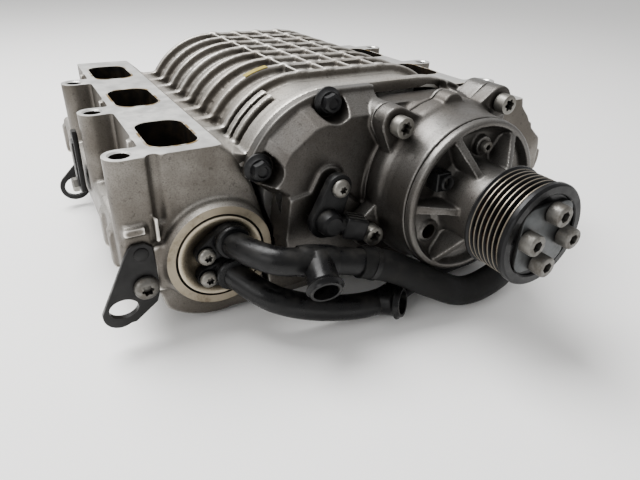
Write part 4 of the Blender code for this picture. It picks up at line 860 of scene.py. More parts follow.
def make_bank(side):
    """One intake bank: cooler tube, port flange and bolt columns in a single casting."""
    looks = finishes()
    top = deck_z + CAST_SKIN
    front = node_box("main_housing")[0].y + 9
    bank = prism(bank_outline(side, top), front, bank_rear, "Y", looks["cast"], "bank", 1.5)
    for hole in bolt_holes[side]:
        root = (side * (bolt_row - 22), hole.y)
        outline = capsule(root, 8.2, (side * bolt_row, hole.y), 9.5, 20)
        unite(bank, prism(outline, 70, top, "Z"))
    ring = [(0, ring_front - CAST_SKIN), (32.4, ring_front - CAST_SKIN), (35.6, ring_front + 3.4),
            (36.4, front + 6), (0, front + 6)]
    unite(bank, turned(ring, (side * cooler_x, 0, cooler_z), steps=96))
    unite(bank, *(left_bank_details() if side < 0 else right_bank_details()))
    plug = [(0, bank_rear - 1), (30, bank_rear - 1), (29, bank_rear + 3), (0, bank_rear + 3)]
    unite(bank, turned(plug, (side * cooler_x, 0, cooler_z)))
    if side < 0:
        cut(bank, rod(4.2, (-149.0, front - 1.6, 0), 80, deck_z + 4, "Z"))
        lug = capsule((-158, 54), 9, (-163.6, 42), 10.5)
        unite(bank, prism(lug, front, front + 14))
        cut(bank, block((-200, 77, -1), (-146, 93.3, 74)))
        unite(bank, prism(capsule((-150, 48), 8, (-160, 40), 10.5), 93.3, 107.3))
    settings = bpy.context.scene.supercharger_casting
    cast_over(bank, settings.voxel / MM, 3, 0.42)
    hollow = rod(cooler_bore - 1.0, (side * cooler_x, 0, cooler_z), ring_front - 2, bank_rear - 14,
                 finish=looks["port"], steps=96)
    for port in ports[side]:
        outline = rounded_box((port.x, port.y), 15, 25, 10.5, 10)
        unite(hollow, prism(outline, cooler_z + 14, deck_z + 1, "Z", looks["port"]))
    cut(bank, hollow)
    low, high = sorted((side * 62, side * 100))
    cut(bank, block((low, front + 16, 14), (high, case_rear - 14, 29), looks["port"]))
    flat = block((-210, -160, deck_z), (210, 150, deck_z + 10), looks["machined"])
    cut(bank, flat)
    cut(bank, block((-210, ring_front - 10, 0), (210, ring_front, 110), looks["machined_brown"]))
    for hole in bolt_holes[side]:
        cut(bank, rod(5.6, (side * bolt_row, hole.y, 0), deck_z - 44, deck_z + 2, "Z", 32, looks["port"]))
        lip = [(0, deck_z - 1), (5.6, deck_z - 1), (6.8, deck_z + 0.2), (0, deck_z + 0.2)]
        cut(bank, turned(lip, (side * bolt_row, hole.y, 0), "Z", 32, looks["machined"]))
    if side < 0:
        for x, z, start, end in ((-163.6, 42, front - 1, front + 12), (-160, 40, 92, 104)):
            cut(bank, rod(4.1, (x, 0, z), start, end, finish=looks["port"], steps=24))
    name = "left_bank" if side < 0 else "right_bank"
    done(name, bank, "housing", "cast_housing", "main_housing")
    rings = []
    for port in ports[side]:
        ring = prism(rounded_box((port.x, port.y), 16.3, 26.3, 11.6, 12), deck_z - 0.3, deck_z + 0.12, "Z",
                     looks["sealant"])
        hole = prism(rounded_box((port.x, port.y), 15.1, 25.1, 10.6, 12), deck_z - 1, deck_z + 1, "Z",
                     looks["sealant"])
        rings.append(cut(ring, hole))
    done(name + "_sealant", join("sealant", *rings), "housing", "rubber_seal")


def half_arch(start, end, radius, thick, first, last, side):
    """A curved rib that follows only part of one rotor case."""
    heart = (side * axis_x, axis_z)
    outer = arc(heart, radius, first, last, 24)
    inner = arc(heart, radius - thick, last, first, 24)
    return prism(outer + inner, start, end)


def make_rotor_case():
    """The ribbed case over both rotors, with its lattice, front land and side webs."""
    looks = finishes()
    settings = bpy.context.scene.supercharger_casting
    rise = settings.rib_height / MM
    shell = crest_radius - rise
    front = joint_y + GAP
    width = settings.rib_width / MM
    case = prism(stadium(shell), front, case_rear, "Y", looks["cast"], "case")
    skirt = [(-80, 6.5), (80, 6.5), (90, 98), (70, 104), (-70, 104), (-90, 98)]
    unite(case, prism(skirt, front, case_rear))
    unite(case, prism(gear_outline(65, 79), front, front + 8))
    for side in (-1, 1):
        web = [(side * 58, 96), (side * 62, 110), (side * 84, 110), (side * 104, 117), (side * 108, 100)]
        unite(case, prism(web, front, case_rear + 8))
    arches = []
    for index in range(ARCHES):
        y = front + FIRST_ARCH + index * ARCH_PITCH
        arches.append(y)
        unite(case, prism(stadium(crest_radius + 0.4), y - 0.5, y - 0.5 + width, bevel=1.2))
        for side in (-1, 1):
            foot = [(side * 82, 106), (side * 80, 120), (side * 94, 117.5), (side * 103, 117.5),
                    (side * 103, 106)]
            unite(case, prism(foot, y - 1, y + width))
    top = axis_z + crest_radius
    unite(case, block((-34, arches[0], top - 9), (34, arches[-1] + width - 1, top)))
    pockets = []
    for y in arches[:-1]:
        for x in (-31, -9, 13):
            outline = rounded_box((x + 9, y + 15), 9.4, 9.6, 3, 4)
            pockets.append(prism(outline, top - 4.6, top + 3, "Z"))
    cut(case, *pockets)
    bumps = []
    for y in arches:
        for x in (-33, -11, 11, 33):
            bumps.append(rod(3.2, (x, y + 2.2, 0), top - 3, top + 1.3, "Z", 16))
    unite(case, join("bumps", *bumps))
    land = [(0, -93), (66, -84), (70, -62), (0, -62)]
    unite(case, prism(land, 112, 134.5, "Z"))
    for x, z, end in ((-8, 127, -90), (20, 124, -84)):
        unite(case, rod(9.5, (x, 0, z), front, end, steps=40))
    for y, last in ((front + 10, 178), (front + 23, 174), (front + 33, 176)):
        unite(case, half_arch(y, y + 6, crest_radius - 0.5, 9, 117, last, -1))
        unite(case, half_arch(y, y + 6, crest_radius - 0.5, 9, 180 - last, 36, 1))
    room = block((58, front + 12, 86), (104, front + 58, 130))
    cut(room, rod(shell, (axis_x, 0, axis_z), front, case_rear))
    cut(case, room)
    cast_over(case, settings.voxel / MM, 3, 0.42)
    hollow = air_hollow(looks["port"])
    cut(case, hollow)
    cut(case, block((3, -72.7, 128), (68.4, -70.2, 140), looks["port"]))
    cut(case, block((-120, front - 10, 0), (120, front, 160), looks["machined"]))
    done("rotor_case", case, "housing", "cast_housing", "main_housing")
    low, high = node_box("housing_bolt")
    spot = (low + high) / 2
    nut = prism([polar((spot.x, spot.z), 6.6, 60 * i + 12) for i in range(6)], low.y, high.y - 1,
                "Y", looks["rust"], "nut", 0.9)
    unite(nut, rod(8.4, (spot.x, 0, spot.z), high.y - 1.4, high.y, finish=looks["rust"], steps=32))
    done("rusty_bolt", nut, "housing", "rusty_bolt", "housing_bolt")


def air_hollow(finish):
    """The space inside the rotor case: bores, bearing seats, plenum and windows."""
    rear = node_box("drive_rotor")[1].y - 11.3
    front = joint_y + GAP
    inside = crest_radius - 9.7
    hollow = prism(stadium(inside + 2.4), front - 2, front + 12.3, "Y", finish)
    for side in (-1, 1):
        centre = (side * axis_x, 0, axis_z)
        unite(hollow, rod(inside, centre, front, rear + 0.3, finish=finish, steps=64))
        unite(hollow, rod(17.6, centre, rear - 1, rear + 13.3, finish=finish, steps=40))
    unite(hollow, block((-70, front + 16, -1), (70, case_rear - 14, 31), finish))
    unite(hollow, block((-22, front + 16, 26), (22, front + 115, 64), finish))
    unite(hollow, block((-26, rear - 1, 103), (26, case_rear + 9, 125), finish))
    unite(hollow, rod(8, (0, 0, 19), case_rear - 16, case_rear + 2, finish=finish, steps=32))
    unite(hollow, block((-101, front + 16, 14), (101, case_rear - 14, 29), finish))
    return hollow


# Front cases

def bolt_spots():
    """Middle of each flange bolt of the gear cover."""
    return [middle(f"cover_bolt_{i}") for i in (1, 2, 3, 4)]


def lobe_spots():
    """Centre and radius of each lobe of the clutch housing; the last one has no screw."""
    spots = [middle(f"drive_screw_{i}") for i in (1, 2, 3)]
    lobes = [((spot.x, spot.z), 11.0) for spot in spots]
    lobes.append((polar((axis_x, axis_z), 54, 92), 8.5))
    return lobes


def make_gear_cover():
    """Front case over the timing gears: facets, bolt pockets, sensor boss and drive pad."""
    looks = finishes()
    settings = bpy.context.scene.supercharger_casting
    joint = joint_y - GAP
    face = joint - 7
    cover = prism(gear_outline(65, 79.2), face, joint + CAST_SKIN, "Y", looks["cast_dark"], "cover", 1.0)
    unite(cover, loft(gear_outline(62.5, 77.5, 3), face + 1, gear_outline(51, 70, 3), cover_front))
    lower = [(-82, 40), (-84, 62), (-80, 91), (-60, 93.5), (-40, 92), (-8, 60), (-20, 30), (-60, 24)]
    upper = [(-77, 40), (-79, 62), (-76, 89), (-60, 91.5), (-40, 90), (-8, 60), (-20, 30), (-60, 28)]
    unite(cover, loft(lower, joint - 6, upper, cover_front - 3))
    low, high = sensor_ends()
    boss = capsule(low, 12.5, high, 10.6, 24)
    top_boss = capsule(low, 11.2, high, 9.2, 24)
    unite(cover, loft(boss, joint - 8, top_boss, cover_front - 8))
    pad = [(0, joint - 4), (61, joint - 4), (60, flange_back + 8), (58, flange_back + 1),
           (58, flange_back - 2), (0, flange_back - 2)]
    unite(cover, turned(pad, (axis_x, 0, axis_z), steps=96))
    for spot, radius in lobe_spots():
        outline = capsule((axis_x, axis_z), radius + 15, spot, radius, 16)
        unite(cover, prism(outline, flange_back - 1, joint - 8))
    wedge = [(-6, -150), (52, -150), (56, -128), (30, -113), (-2, -121)]
    unite(cover, prism(wedge, 116, 142, "Z"))
    for x in (-18, 74):
        unite(cover, rod(8.5, (x, 0, 130 - abs(x - 28) * 0.16), joint - 16, joint - 2, steps=32))
    cut(cover, block((-200, -170, 0), (200, flange_back + GAP, 200)))
    cut(cover, block((-8, flange_back + 3, 139.5), (54, -100, 150)))
    for bolt in bolt_spots():
        away = (Vector((bolt.x, bolt.z)) - Vector((math.copysign(axis_x, bolt.x), axis_z))).normalized()
        beyond = Vector((bolt.x, bolt.z)) + away * 22
        outline = capsule((bolt.x, bolt.z), 10.8, tuple(beyond), 10.2, 24)
        cut(cover, prism(outline, cover_front - 20, face))
    for side in (1, -1):
        cut(cover, rod(RING_ROOM, (side * cooler_x, 0, cooler_z), ring_front - 2, joint + 6, steps=64))
    cast_over(cover, settings.fine_voxel / MM, 4, 0.4)
    hollow = rod(30, (axis_x, 0, axis_z), flange_back - 2, cover_front + 10, finish=looks["port"])
    for side in (-1, 1):
        unite(hollow, rod(44, (side * axis_x, 0, axis_z), joint - 16, joint + 8, finish=looks["port"]))
    cut(cover, hollow)
    cut(cover, block((-120, joint, 0), (120, joint + 12, 170), looks["machined"]))
    cut(cover, rod(5.6, upright(low), cover_front - 10, cover_front + 2, finish=looks["port"], steps=24))
    for bolt in bolt_spots():
        cut(cover, rod(4.1, (bolt.x, 0, bolt.z), cover_front - 4, joint + 1, finish=looks["port"], steps=24))
    done("gear_case_front", cover, "housing", "gear_case", "gear_cover")


def sensor_ends():
    """Probe end and screw end of the pressure sensor."""
    screw = middle("sensor_screw")
    return (screw.x - 9, screw.z - 22), (screw.x, screw.z)


def make_drive_housing():
    """Lobed clutch housing: a bell that flares into its flange."""
    looks = finishes()
    settings = bpy.context.scene.supercharger_casting
    heart = (axis_x, 0, axis_z)
    back = flange_back
    profile = [(0, back + 2), (58, back + 2), (58, back - 9), (57.2, back - 11.5), (55.4, back - 14.5),
               (54.2, back - 19), (53.5, back - 26), (53.2, seam_y), (0, seam_y)]
    housing = turned(profile, heart, steps=128, finish=looks["cast_dark"])
    for spot, radius in lobe_spots():
        outline = capsule((axis_x, axis_z), radius + 21, spot, radius, 24)
        unite(housing, prism(outline, back - 11.5, back + 2))
        unite(housing, rod(radius - 0.8, upright(spot), back - 12, back, steps=40))
    for spot, _ in lobe_spots()[:3]:
        cut(housing, rod(8.4, upright(spot), back - 30, back - 12, steps=40))
    cut(housing, block((-80, back, 0), (140, back + 6, 200)))
    cast_over(housing, settings.fine_voxel / MM, 5, 0.35)
    cut(housing, rod(48, heart, seam_y - 3, back + 3, finish=looks["port"], steps=96))
    cut(housing, block((-80, seam_y - 4, 0), (140, seam_y, 200), looks["machined"]))
    for spot, _ in lobe_spots()[:3]:
        cut(housing, rod(4.1, upright(spot), back - 14, back + 2, finish=looks["port"], steps=24))
    done("clutch_housing", housing, "housing", "gear_case", "drive_housing")


def nose_rib(degrees, dish):
    """A tapered rib from the nose's rim up its hub."""
    hub = 22.0
    reach = rim_radius - 2
    side_view = [(hub, dish + 1.5), (reach - 4, dish + 1.5), (reach, nose_face + 1.0),
                 (reach - 3, nose_face - 0.6), (hub, nose_low.y + 8)]
    rib = bmesh.new()
    rows = []
    for half in (-1, 1):
        row = []
        for r, y in side_view:
            depth = (y - nose_low.y) / (dish - nose_low.y)
            row.append(rib.verts.new((r, y, half * (1.7 + 1.5 * depth))))
        rows.append(row)
        rib.faces.new(row)
    for i in range(len(side_view)):
        j = (i + 1) % len(side_view)
        rib.faces.new((rows[0][i], rows[0][j], rows[1][j], rows[1][i]))
    swing = Matrix.Translation((axis_x, 0, axis_z)) @ Matrix.Rotation(math.radians(-degrees), 4, "Y")
    bmesh.ops.transform(rib, matrix=swing, verts=rib.verts)
    return finish_mesh("rib", rib)


def make_drive_nose():
    """The dished nose with its six ribs and the hub that carries the pulley."""
    looks = finishes()
    settings = bpy.context.scene.supercharger_casting
    heart = (axis_x, 0, axis_z)
    joint = seam_y - GAP
    dish = nose_face + 7.5
    front = nose_low.y
    profile = [(0, joint + 8), (47.6, joint + 8), (47.6, joint), (rim_radius + 1.6, joint),
               (rim_radius + 1.2, nose_face + 1.2), (rim_radius, nose_face), (rim_radius - 2.6, nose_face),
               (rim_radius - 5.2, dish - 1.5), (rim_radius - 8, dish), (30, dish), (26.5, dish - 2.5),
               (25.4, dish - 6), (24.6, front), (0, front)]
    nose = turned(profile, heart, steps=128, finish=looks["cast_nose"])
    for index in range(6):
        unite(nose, nose_rib(index * 60 - 3, dish))
    screw_spot = polar((axis_x, axis_z), 35, 84)
    hole_spot = polar((axis_x, axis_z), 36, 212)
    unite(nose, rod(6.2, upright(screw_spot), dish - 4.5, dish + 2, steps=32))
    unite(nose, rod(7.2, upright(hole_spot), dish - 1.6, dish + 2, steps=32))
    cast_over(nose, settings.fine_voxel / MM, 3, 0.4)
    cut(nose, rod(11, heart, front - 2, joint + 9, finish=looks["port"], steps=48))
    cut(nose, rod(19.3, heart, front - 2, front + 18, finish=looks["steel"], steps=64))
    cut(nose, rod(5.2, upright(hole_spot), dish - 7, dish + 6, finish=looks["port"], steps=32))
    done("nose_casting", nose, "housing", "gear_case", "drive_nose")
    screw = socket_screw(screw_spot, dish - 4.5, 3.9, 3.4, 2.0, looks["zinc_dull"])
    done("nose_screw", screw, "housing", "zinc_screws")


def make_pulley():
    """Six-groove belt pulley with raised hub plate."""
    looks = finishes()
    hardware = bpy.context.scene.supercharger_hardware
    pitch = hardware.groove_pitch / MM
    rear = pulley_high.y
    front = pulley_low.y + 0.4
    crest = pulley_radius - 1.2
    root = crest - 2.7
    outline = [(25.5, rear), (pulley_radius - 0.5, rear), (pulley_radius, rear - 0.4),
               (pulley_radius, rear - 1.4), (crest + 0.2, rear - 2.2), (crest, rear - 2.6)]
    start = rear - 3.0
    for groove in range(hardware.grooves):
        y = start - groove * pitch
        outline += [(crest, y - 0.25), (crest - 0.25, y - 0.45), (root, y - 0.5 * pitch + 0.25),
                    (root, y - 0.5 * pitch - 0.25), (crest - 0.25, y - pitch + 0.45),
                    (crest, y - pitch + 0.25)]
    last = start - hardware.grooves * pitch
    outline += [(crest, last - 0.3), (pulley_radius - 0.4, last - 1.2), (pulley_radius, last - 1.8),
                (pulley_radius, front + 1.4), (pulley_radius - 0.5, front + 0.5),
                (pulley_radius - 1.4, front), (26.6, front), (25.8, front + 0.6), (25.4, front + 1.8),
                (23.8, front + 2.0), (0, front + 2.0), (0, front + 8.0), (25.5, front + 8.0)]
    pulley = turned(outline, (axis_x, 0, axis_z), steps=144, finish=looks["pulley"])
    pad = prism(rounded_box((axis_x, axis_z), 20.5, 20.5, 8.5, 10), front - 0.4, front + 3, "Y",
                looks["pulley_plate"], "pad", 0.7)
    unite(pulley, pad)
    spots = [middle(f"pulley_screw_{i}") for i in (1, 2, 3, 4)]
    for spot in spots:
        cut(pulley, rod(4.1, (spot.x, 0, spot.z), front - 2, front + 9, finish=looks["port"], steps=24))
    done("belt_pulley", pulley, "pulley", "pulley_steel", "pulley", sharp=28)


# Screws

def socket_screw(spot, seat, radius, height, recess, finish, shank=0.0, length=0.0, lobes=0):
    """Cylinder-head screw along Y with a hexagon or six-lobe recess; the tip points to +Y."""
    top = seat - height
    edge = radius * 0.1
    profile = [(0, top), (radius - edge * 1.6, top), (radius - edge * 0.5, top + edge * 0.4),
               (radius, top + edge * 1.6), (radius, seat - edge * 0.6), (radius - edge * 0.6, seat)]
    profile += [(shank, seat), (shank, seat + length), (0, seat + length)] if shank else [(0, seat)]
    screw = turned(profile, upright(spot), steps=64, finish=finish)
    return cut(screw, drive_recess(spot, top, height * 0.6, recess, lobes, finish))


def drive_recess(spot, top, depth, size, lobes, finish):
    """Cutter for a hexagon recess, or a six-lobe one."""
    if not lobes:
        outline = [polar(spot, size, 60 * i + 11) for i in range(6)]
        return prism(outline, top - 1, top + depth, "Y", finish)
    outline = []
    for i in range(48):
        degrees = 360 * i / 48
        swell = math.cos(math.radians(degrees * lobes))
        outline.append(polar(spot, size * (0.86 + 0.14 * swell), degrees + 7))
    return prism(outline, top - 1, top + depth, "Y", finish)


def pan_screw(spot, seat, radius, height, recess, finish, shank, length):
    """Domed screw with a six-lobe recess."""
    top = seat - height
    profile = [(0, top), (radius * 0.45, top + 0.15), (radius * 0.78, top + height * 0.16),
               (radius * 0.96, top + height * 0.45), (radius, top + height * 0.72),
               (radius, seat - 0.3), (radius - 0.3, seat), (shank, seat), (shank, seat + length),
               (0, seat + length)]
    screw = turned(profile, upright(spot), steps=64, finish=finish)
    return cut(screw, drive_recess(spot, top, height * 0.65, recess, 6, finish))


def flange_bolt(spot, seat, finish):
    """Hexagon bolt with a round flange under its head and a shallow dish on top."""
    top = seat - 9.0
    flange = [(0, seat - 4), (6.6, seat - 4), (7.4, seat - 2.6), (9.0, seat - 1.5), (9.1, seat - 0.3),
              (8.4, seat), (4, seat), (3.8, seat + 6), (0, seat + 6)]
    bolt = turned(flange, upright(spot), steps=64, finish=finish)
    head = prism([polar(spot, 6.1, 60 * i + 20) for i in range(6)], top, seat - 2, "Y", finish)
    crown = turned([(0, top - 2), (4.4, top), (5.2, top + 0.4), (6.8, top + 1.7), (6.8, seat - 1),
                    (0, seat - 1)], upright(spot), steps=64, finish=finish)
    trim = head.modifiers.new("crown", "BOOLEAN")
    trim.object = crown
    trim.operation = "INTERSECT"
    trim.solver = "EXACT"
    apply_modifiers(head)
    bpy.data.objects.remove(crown)
    dish = turned([(0, top - 2), (3.6, top - 2), (3.6, top + 0.2), (2.9, top + 1.5), (0, top + 1.7)],
                  upright(spot), steps=48, finish=finish)
    cut(head, dish)
    return unite(bolt, head)


def make_screws():
    """Every screw that is seen from the front."""
    looks = finishes()
    for index in (1, 2, 3, 4):
        spot, top = head_place(f"pulley_screw_{index}")
        screw = socket_screw(spot, top + 8, 6.5, 8, 3.5, looks["zinc_dull"], 3.7, 12)
        done(f"hub_screw_{index}", screw, "pulley", "zinc_screws", f"pulley_screw_{index}")
    for index in (1, 2, 3):
        spot, top = head_place(f"drive_screw_{index}")
        screw = socket_screw(spot, top + 8, 6.7, 8.2, 4.2, looks["zinc"], 3.7, 10, 6)
        done(f"clutch_screw_{index}", screw, "housing", "zinc_screws", f"drive_screw_{index}")
    for index in (1, 2, 3, 4):
        spot, top = head_place(f"cover_bolt_{index}")
        bolt = flange_bolt(spot, top + 9, looks["black_bolt"])
        done(f"gear_case_bolt_{index}", bolt, "housing", "black_screws", f"cover_bolt_{index}")
    for tag in ("upper_left", "lower_left", "upper_right", "lower_right"):
        spot, top = head_place(f"pipe_screw_{tag}")
        screw = pan_screw(spot, top + 4, 5.6, 4, 2.7, looks["zinc"], 2.5, 6)
        done(f"coolant_screw_{tag}", screw, "housing", "zinc_screws", f"pipe_screw_{tag}")
    for end in ("front", "rear"):
        spot, top = head_place(f"bracket_bolt_{end}")
        screw = pan_screw(spot, top + 5.5, 7.6, 5.2, 3.7, looks["zinc_dull"], 3.7, 12)
        done(f"lift_bolt_{end}", screw, "housing", "zinc_screws", f"bracket_bolt_{end}")
    spot, top = head_place("sensor_screw")
    screw = pan_screw(spot, top + 3.6, 5.9, 3.8, 2.6, looks["zinc"], 2.5, 5)
    done("sensor_pan_screw", screw, "housing", "zinc_screws", "sensor_screw")


# Coolers and pipes

def make_coolers():
    """Round caps that close the cooler tubes, with the seals round them."""
    looks = finishes()
    for side, tag in ((-1, "left"), (1, "right")):
        low, high = node_box(f"cooler_cap_{tag}")
        face = low.y
        rim = (high.x - low.x) / 2
        profile = [(0, face + 6.4), (15, face + 6.4), (18.2, face + 5.6), (20.6, face + 3.6),
                   (22.6, face + 1.6), (24.6, face + 0.4), (26.2, face), (27.2, face + 0.3),
                   (27.6, face + 1.2), (27.6, face + 4.0), (rim, face + 4.0), (rim, high.y), (0, high.y)]
        cap = turned(profile, (side * cooler_x, 0, cooler_z), steps=128, finish=looks["cap"])
        done(f"cap_{tag}", cap, "housing", "cooler_cap", f"cooler_cap_{tag}")
        low, high = node_box(f"cap_seal_{tag}")
        outer = (high.x - low.x) / 2 - 1.0
        profile = [(SEAL_BORE, low.y + 1.2), (SEAL_BORE + 0.3, low.y + 0.9), (outer - 0.2, low.y + 0.8),
                   (outer, low.y + 1.1), (outer, high.y), (SEAL_BORE, high.y)]
        seal = turned(profile, (side * cooler_x, 0, cooler_z), steps=128, finish=looks["rubber"])
        done(f"seal_{tag}", seal, "housing", "rubber_seal", f"cap_seal_{tag}")


def bead_nozzle(start, run, finish, radius=9.6, lip=11.6):
    """Open hose nozzle with a bead near its mouth."""
    start = Vector(start)
    heading = Vector(run).normalized()
    tip = start + Vector(run)
    route = [start + (tip - start) * i / 24 for i in range(25)]
    length = (tip - start).length
    radii = []
    for i in range(25):
        behind = length * (1 - i / 24)
        swell = math.exp(-((behind - 3.2) / 1.5) ** 2)
        radii.append(1 + (lip / radius - 1) * swell)
    body = pipe(route, radius, finish, "nozzle", 12, radii)
    bore = [tip - heading * 13, tip + heading * 2]
    return cut(body, pipe(bore, radius - 1.7, finish, "bore", 12))


def flange_plate(port, screw, back, finish):
    """Moulded flange that one screw holds on the cooler cap, with a raised collar."""
    outline = capsule(port, 10.4, screw, 6.6, 24)
    plate = prism(outline, back - 6.6, back, "Y", finish, "plate", 0.9)
    collar = [(0, back - 13), (10.2, back - 13), (11.2, back - 11.6), (11.2, back - 9.6),
              (10.4, back - 8.6), (11.6, back - 5), (0, back - 5)]
    unite(plate, turned(collar, upright(port), steps=48, finish=finish))
    cut(plate, rod(3.0, upright(screw), back - 9, back + 1, finish=finish, steps=24))
    cut(plate, rod(6.3, upright(screw), back - 12, back - 6.0, finish=finish, steps=32))
    return plate


def make_pipes():
    """Coolant pipes between the cooler caps, each with one open nozzle."""
    looks = finishes()
    plastics = bpy.context.scene.supercharger_plastics
    radius = plastics.pipe_radius / MM
    hose_radius = plastics.hose_radius / MM
    back = node_box("pipe_screw_upper_left")[0].y + 4.3 + 7
    ends = {}
    for level, x_step, z_step in (("upper", 6, 11), ("lower", 5, -12)):
        for side in (-1, 1):
            ends[level, side] = (side * (cooler_x - x_step), cooler_z + z_step)
    up, up_far = ends["upper", -1], ends["upper", 1]
    low, low_far = ends["lower", -1], ends["lower", 1]
    first = [(up[0], back - 2, up[1]), (up[0] + 1, back - 14, up[1] - 1), (-96, -175, 63),
             (-72, -181, 59), (-48, -185, 54), (-30, -188.5, 48)]
    upper = pipe(smooth_route(first), radius, looks["nylon"], "upper")
    unite(upper, flange_plate(up, head_place("pipe_screw_upper_left")[0], back, looks["nylon"]))
    tee = [Vector((-84, -178, 61)), Vector((-60, -183, 57))]
    unite(upper, pipe([tee[0] + (tee[1] - tee[0]) * i / 8 for i in range(9)], radius + 1.4, looks["nylon"],
                      "tee", 10, [0.9, 0.97, 1, 1, 1, 1, 1, 0.97, 0.9]))
    unite(upper, bead_nozzle((-72, -181, 60), (-5, -21, -9), looks["nylon"]))
    unite(upper, pipe([(-36, -187, 50.5), (-33, -187.8, 49.3)], hose_radius + 0.6, looks["nylon"], "bead"))
    done("upper_pipe", upper, "housing", "nylon", "coolant_pipe_upper", sharp=40)
    second = [(-44, -185.8, 53), (-20, -190, 44), (8, -198, 28), (33, -202, 15.5), (62, -200, 13.5),
              (86, -192, 18), (104, -168, 44), (up_far[0], back - 12, up_far[1] - 1),
              (up_far[0], back - 4, up_far[1])]
    hose = pipe(smooth_route(second, 12), hose_radius, looks["hose"], "hose", 12)
    done("upper_hose", hose, "housing", "nylon", "coolant_pipe_upper", sharp=40)
    far_flange = flange_plate(up_far, head_place("pipe_screw_upper_right")[0], back, looks["nylon"])
    done("upper_far_flange", far_flange, "housing", "nylon", "coolant_pipe_upper")
    route = [(low[0], back - 2, low[1]), (low[0] + 2, back - 12, low[1] - 2), (-94, -170, 31),
             (-62, -179, 19), (-25, -183, 13.5), (10, -172, 11), (50, -163, 10.4), (88, -162, 13),
             (105, -156, 27), (low_far[0], back - 10, low_far[1] - 1), (low_far[0], back - 2, low_far[1])]
    lower = pipe(smooth_route(route, 12), radius, looks["nylon"], "lower", 12)
    unite(lower, flange_plate(low, head_place("pipe_screw_lower_left")[0], back, looks["nylon"]))
    unite(lower, flange_plate(low_far, head_place("pipe_screw_lower_right")[0], back, looks["nylon"]))
    unite(lower, bead_nozzle((-22, -183, 14), (9, -13, 3), looks["nylon"]))
    done("lower_pipe", lower, "housing", "nylon", "coolant_pipe_lower", sharp=40)


# Fittings

def make_brackets():
    """Lifting brackets at both ends of the left bank, and the harness strap."""
    looks = finishes()
    low, high = node_box("lifting_bracket_front")
    bolt = middle("bracket_bolt_front")
    outline = [(-170.5, 69), (-168, 71.3), (-161, 71.5), (-156.5, 68), (-155.6, 55), (-155.6, 36),
               (-158, 29), (-172, 18.5)]
    outline += arc((-180.5, 27.0), 10.0, -60, -190, 24)
    plate = prism(outline, low.y, high.y, "Y", looks["bracket"], "plate", 0.8, 3)
    eye = [(-178 + 8.6 * math.cos(math.tau * i / 48), 30 + 6.6 * math.sin(math.tau * i / 48))
           for i in range(48)]
    cut(plate, prism(eye, low.y - 1, high.y + 1, "Y", looks["bracket"]))
    cut(plate, rod(4.3, (bolt.x, 0, bolt.z), low.y - 1, high.y + 1, finish=looks["bracket"], steps=32))
    boss = [(0, low.y + 1), (4.4, low.y + 1), (4.2, low.y - 0.6), (3.6, low.y - 1.0), (0, low.y - 1.0)]
    unite(plate, turned(boss, (-163.4, 0, 64.5), steps=48, finish=looks["bracket"]))
    done("front_lift_eye", plate, "housing", "black_bracket", "lifting_bracket_front")
    low, high = node_box("lifting_bracket_rear")
    bolt = middle("bracket_bolt_rear")
    outline = capsule((low.x + 13, low.z + 13), 13, (bolt.x, bolt.z), 11, 32)
    plate = prism(outline, low.y, high.y, "Y", looks["bracket"], "plate", 0.8, 3)
    cut(plate, rod(9, (low.x + 13, 0, low.z + 13), low.y - 1, high.y + 1, finish=looks["bracket"], steps=64))
    cut(plate, rod(4.3, (bolt.x, 0, bolt.z), low.y - 1, high.y + 1, finish=looks["bracket"], steps=32))
    done("rear_lift_eye", plate, "housing", "black_bracket", "lifting_bracket_rear")
    low, high = node_box("harness_strap")
    outline = [(-16, 58), (-6, 53.6), (2, 52), (5, 54.4), (6, 58), (4, 66), (-17, 106), (-22, 108.6),
               (-27, 108), (-29, 104), (-28, 98)]
    strap = prism(outline, low.x, high.x, "X", looks["nylon_dull"], "strap", 0.8)
    rib = prism([(-14, 62), (0, 57.5), (1, 62), (-19, 101), (-24, 99)], low.x - 1.2, low.x + 1, "X",
                looks["nylon_dull"], "rib", 0.5)
    unite(strap, rib)
    done("loom_strap", strap, "housing", "nylon", "harness_strap")
    low, high = node_box("strap_bolt")
    head = turned([(0, low.x), (4.4, low.x), (5.4, low.x + 1), (5.5, low.x + 4.4), (0, low.x + 4.4)],
                  (0, (low.y + high.y) / 2, (low.z + high.z) / 2), "X", 6, looks["zinc"])
    done("strap_nut", head, "housing", "zinc_screws", "strap_bolt")


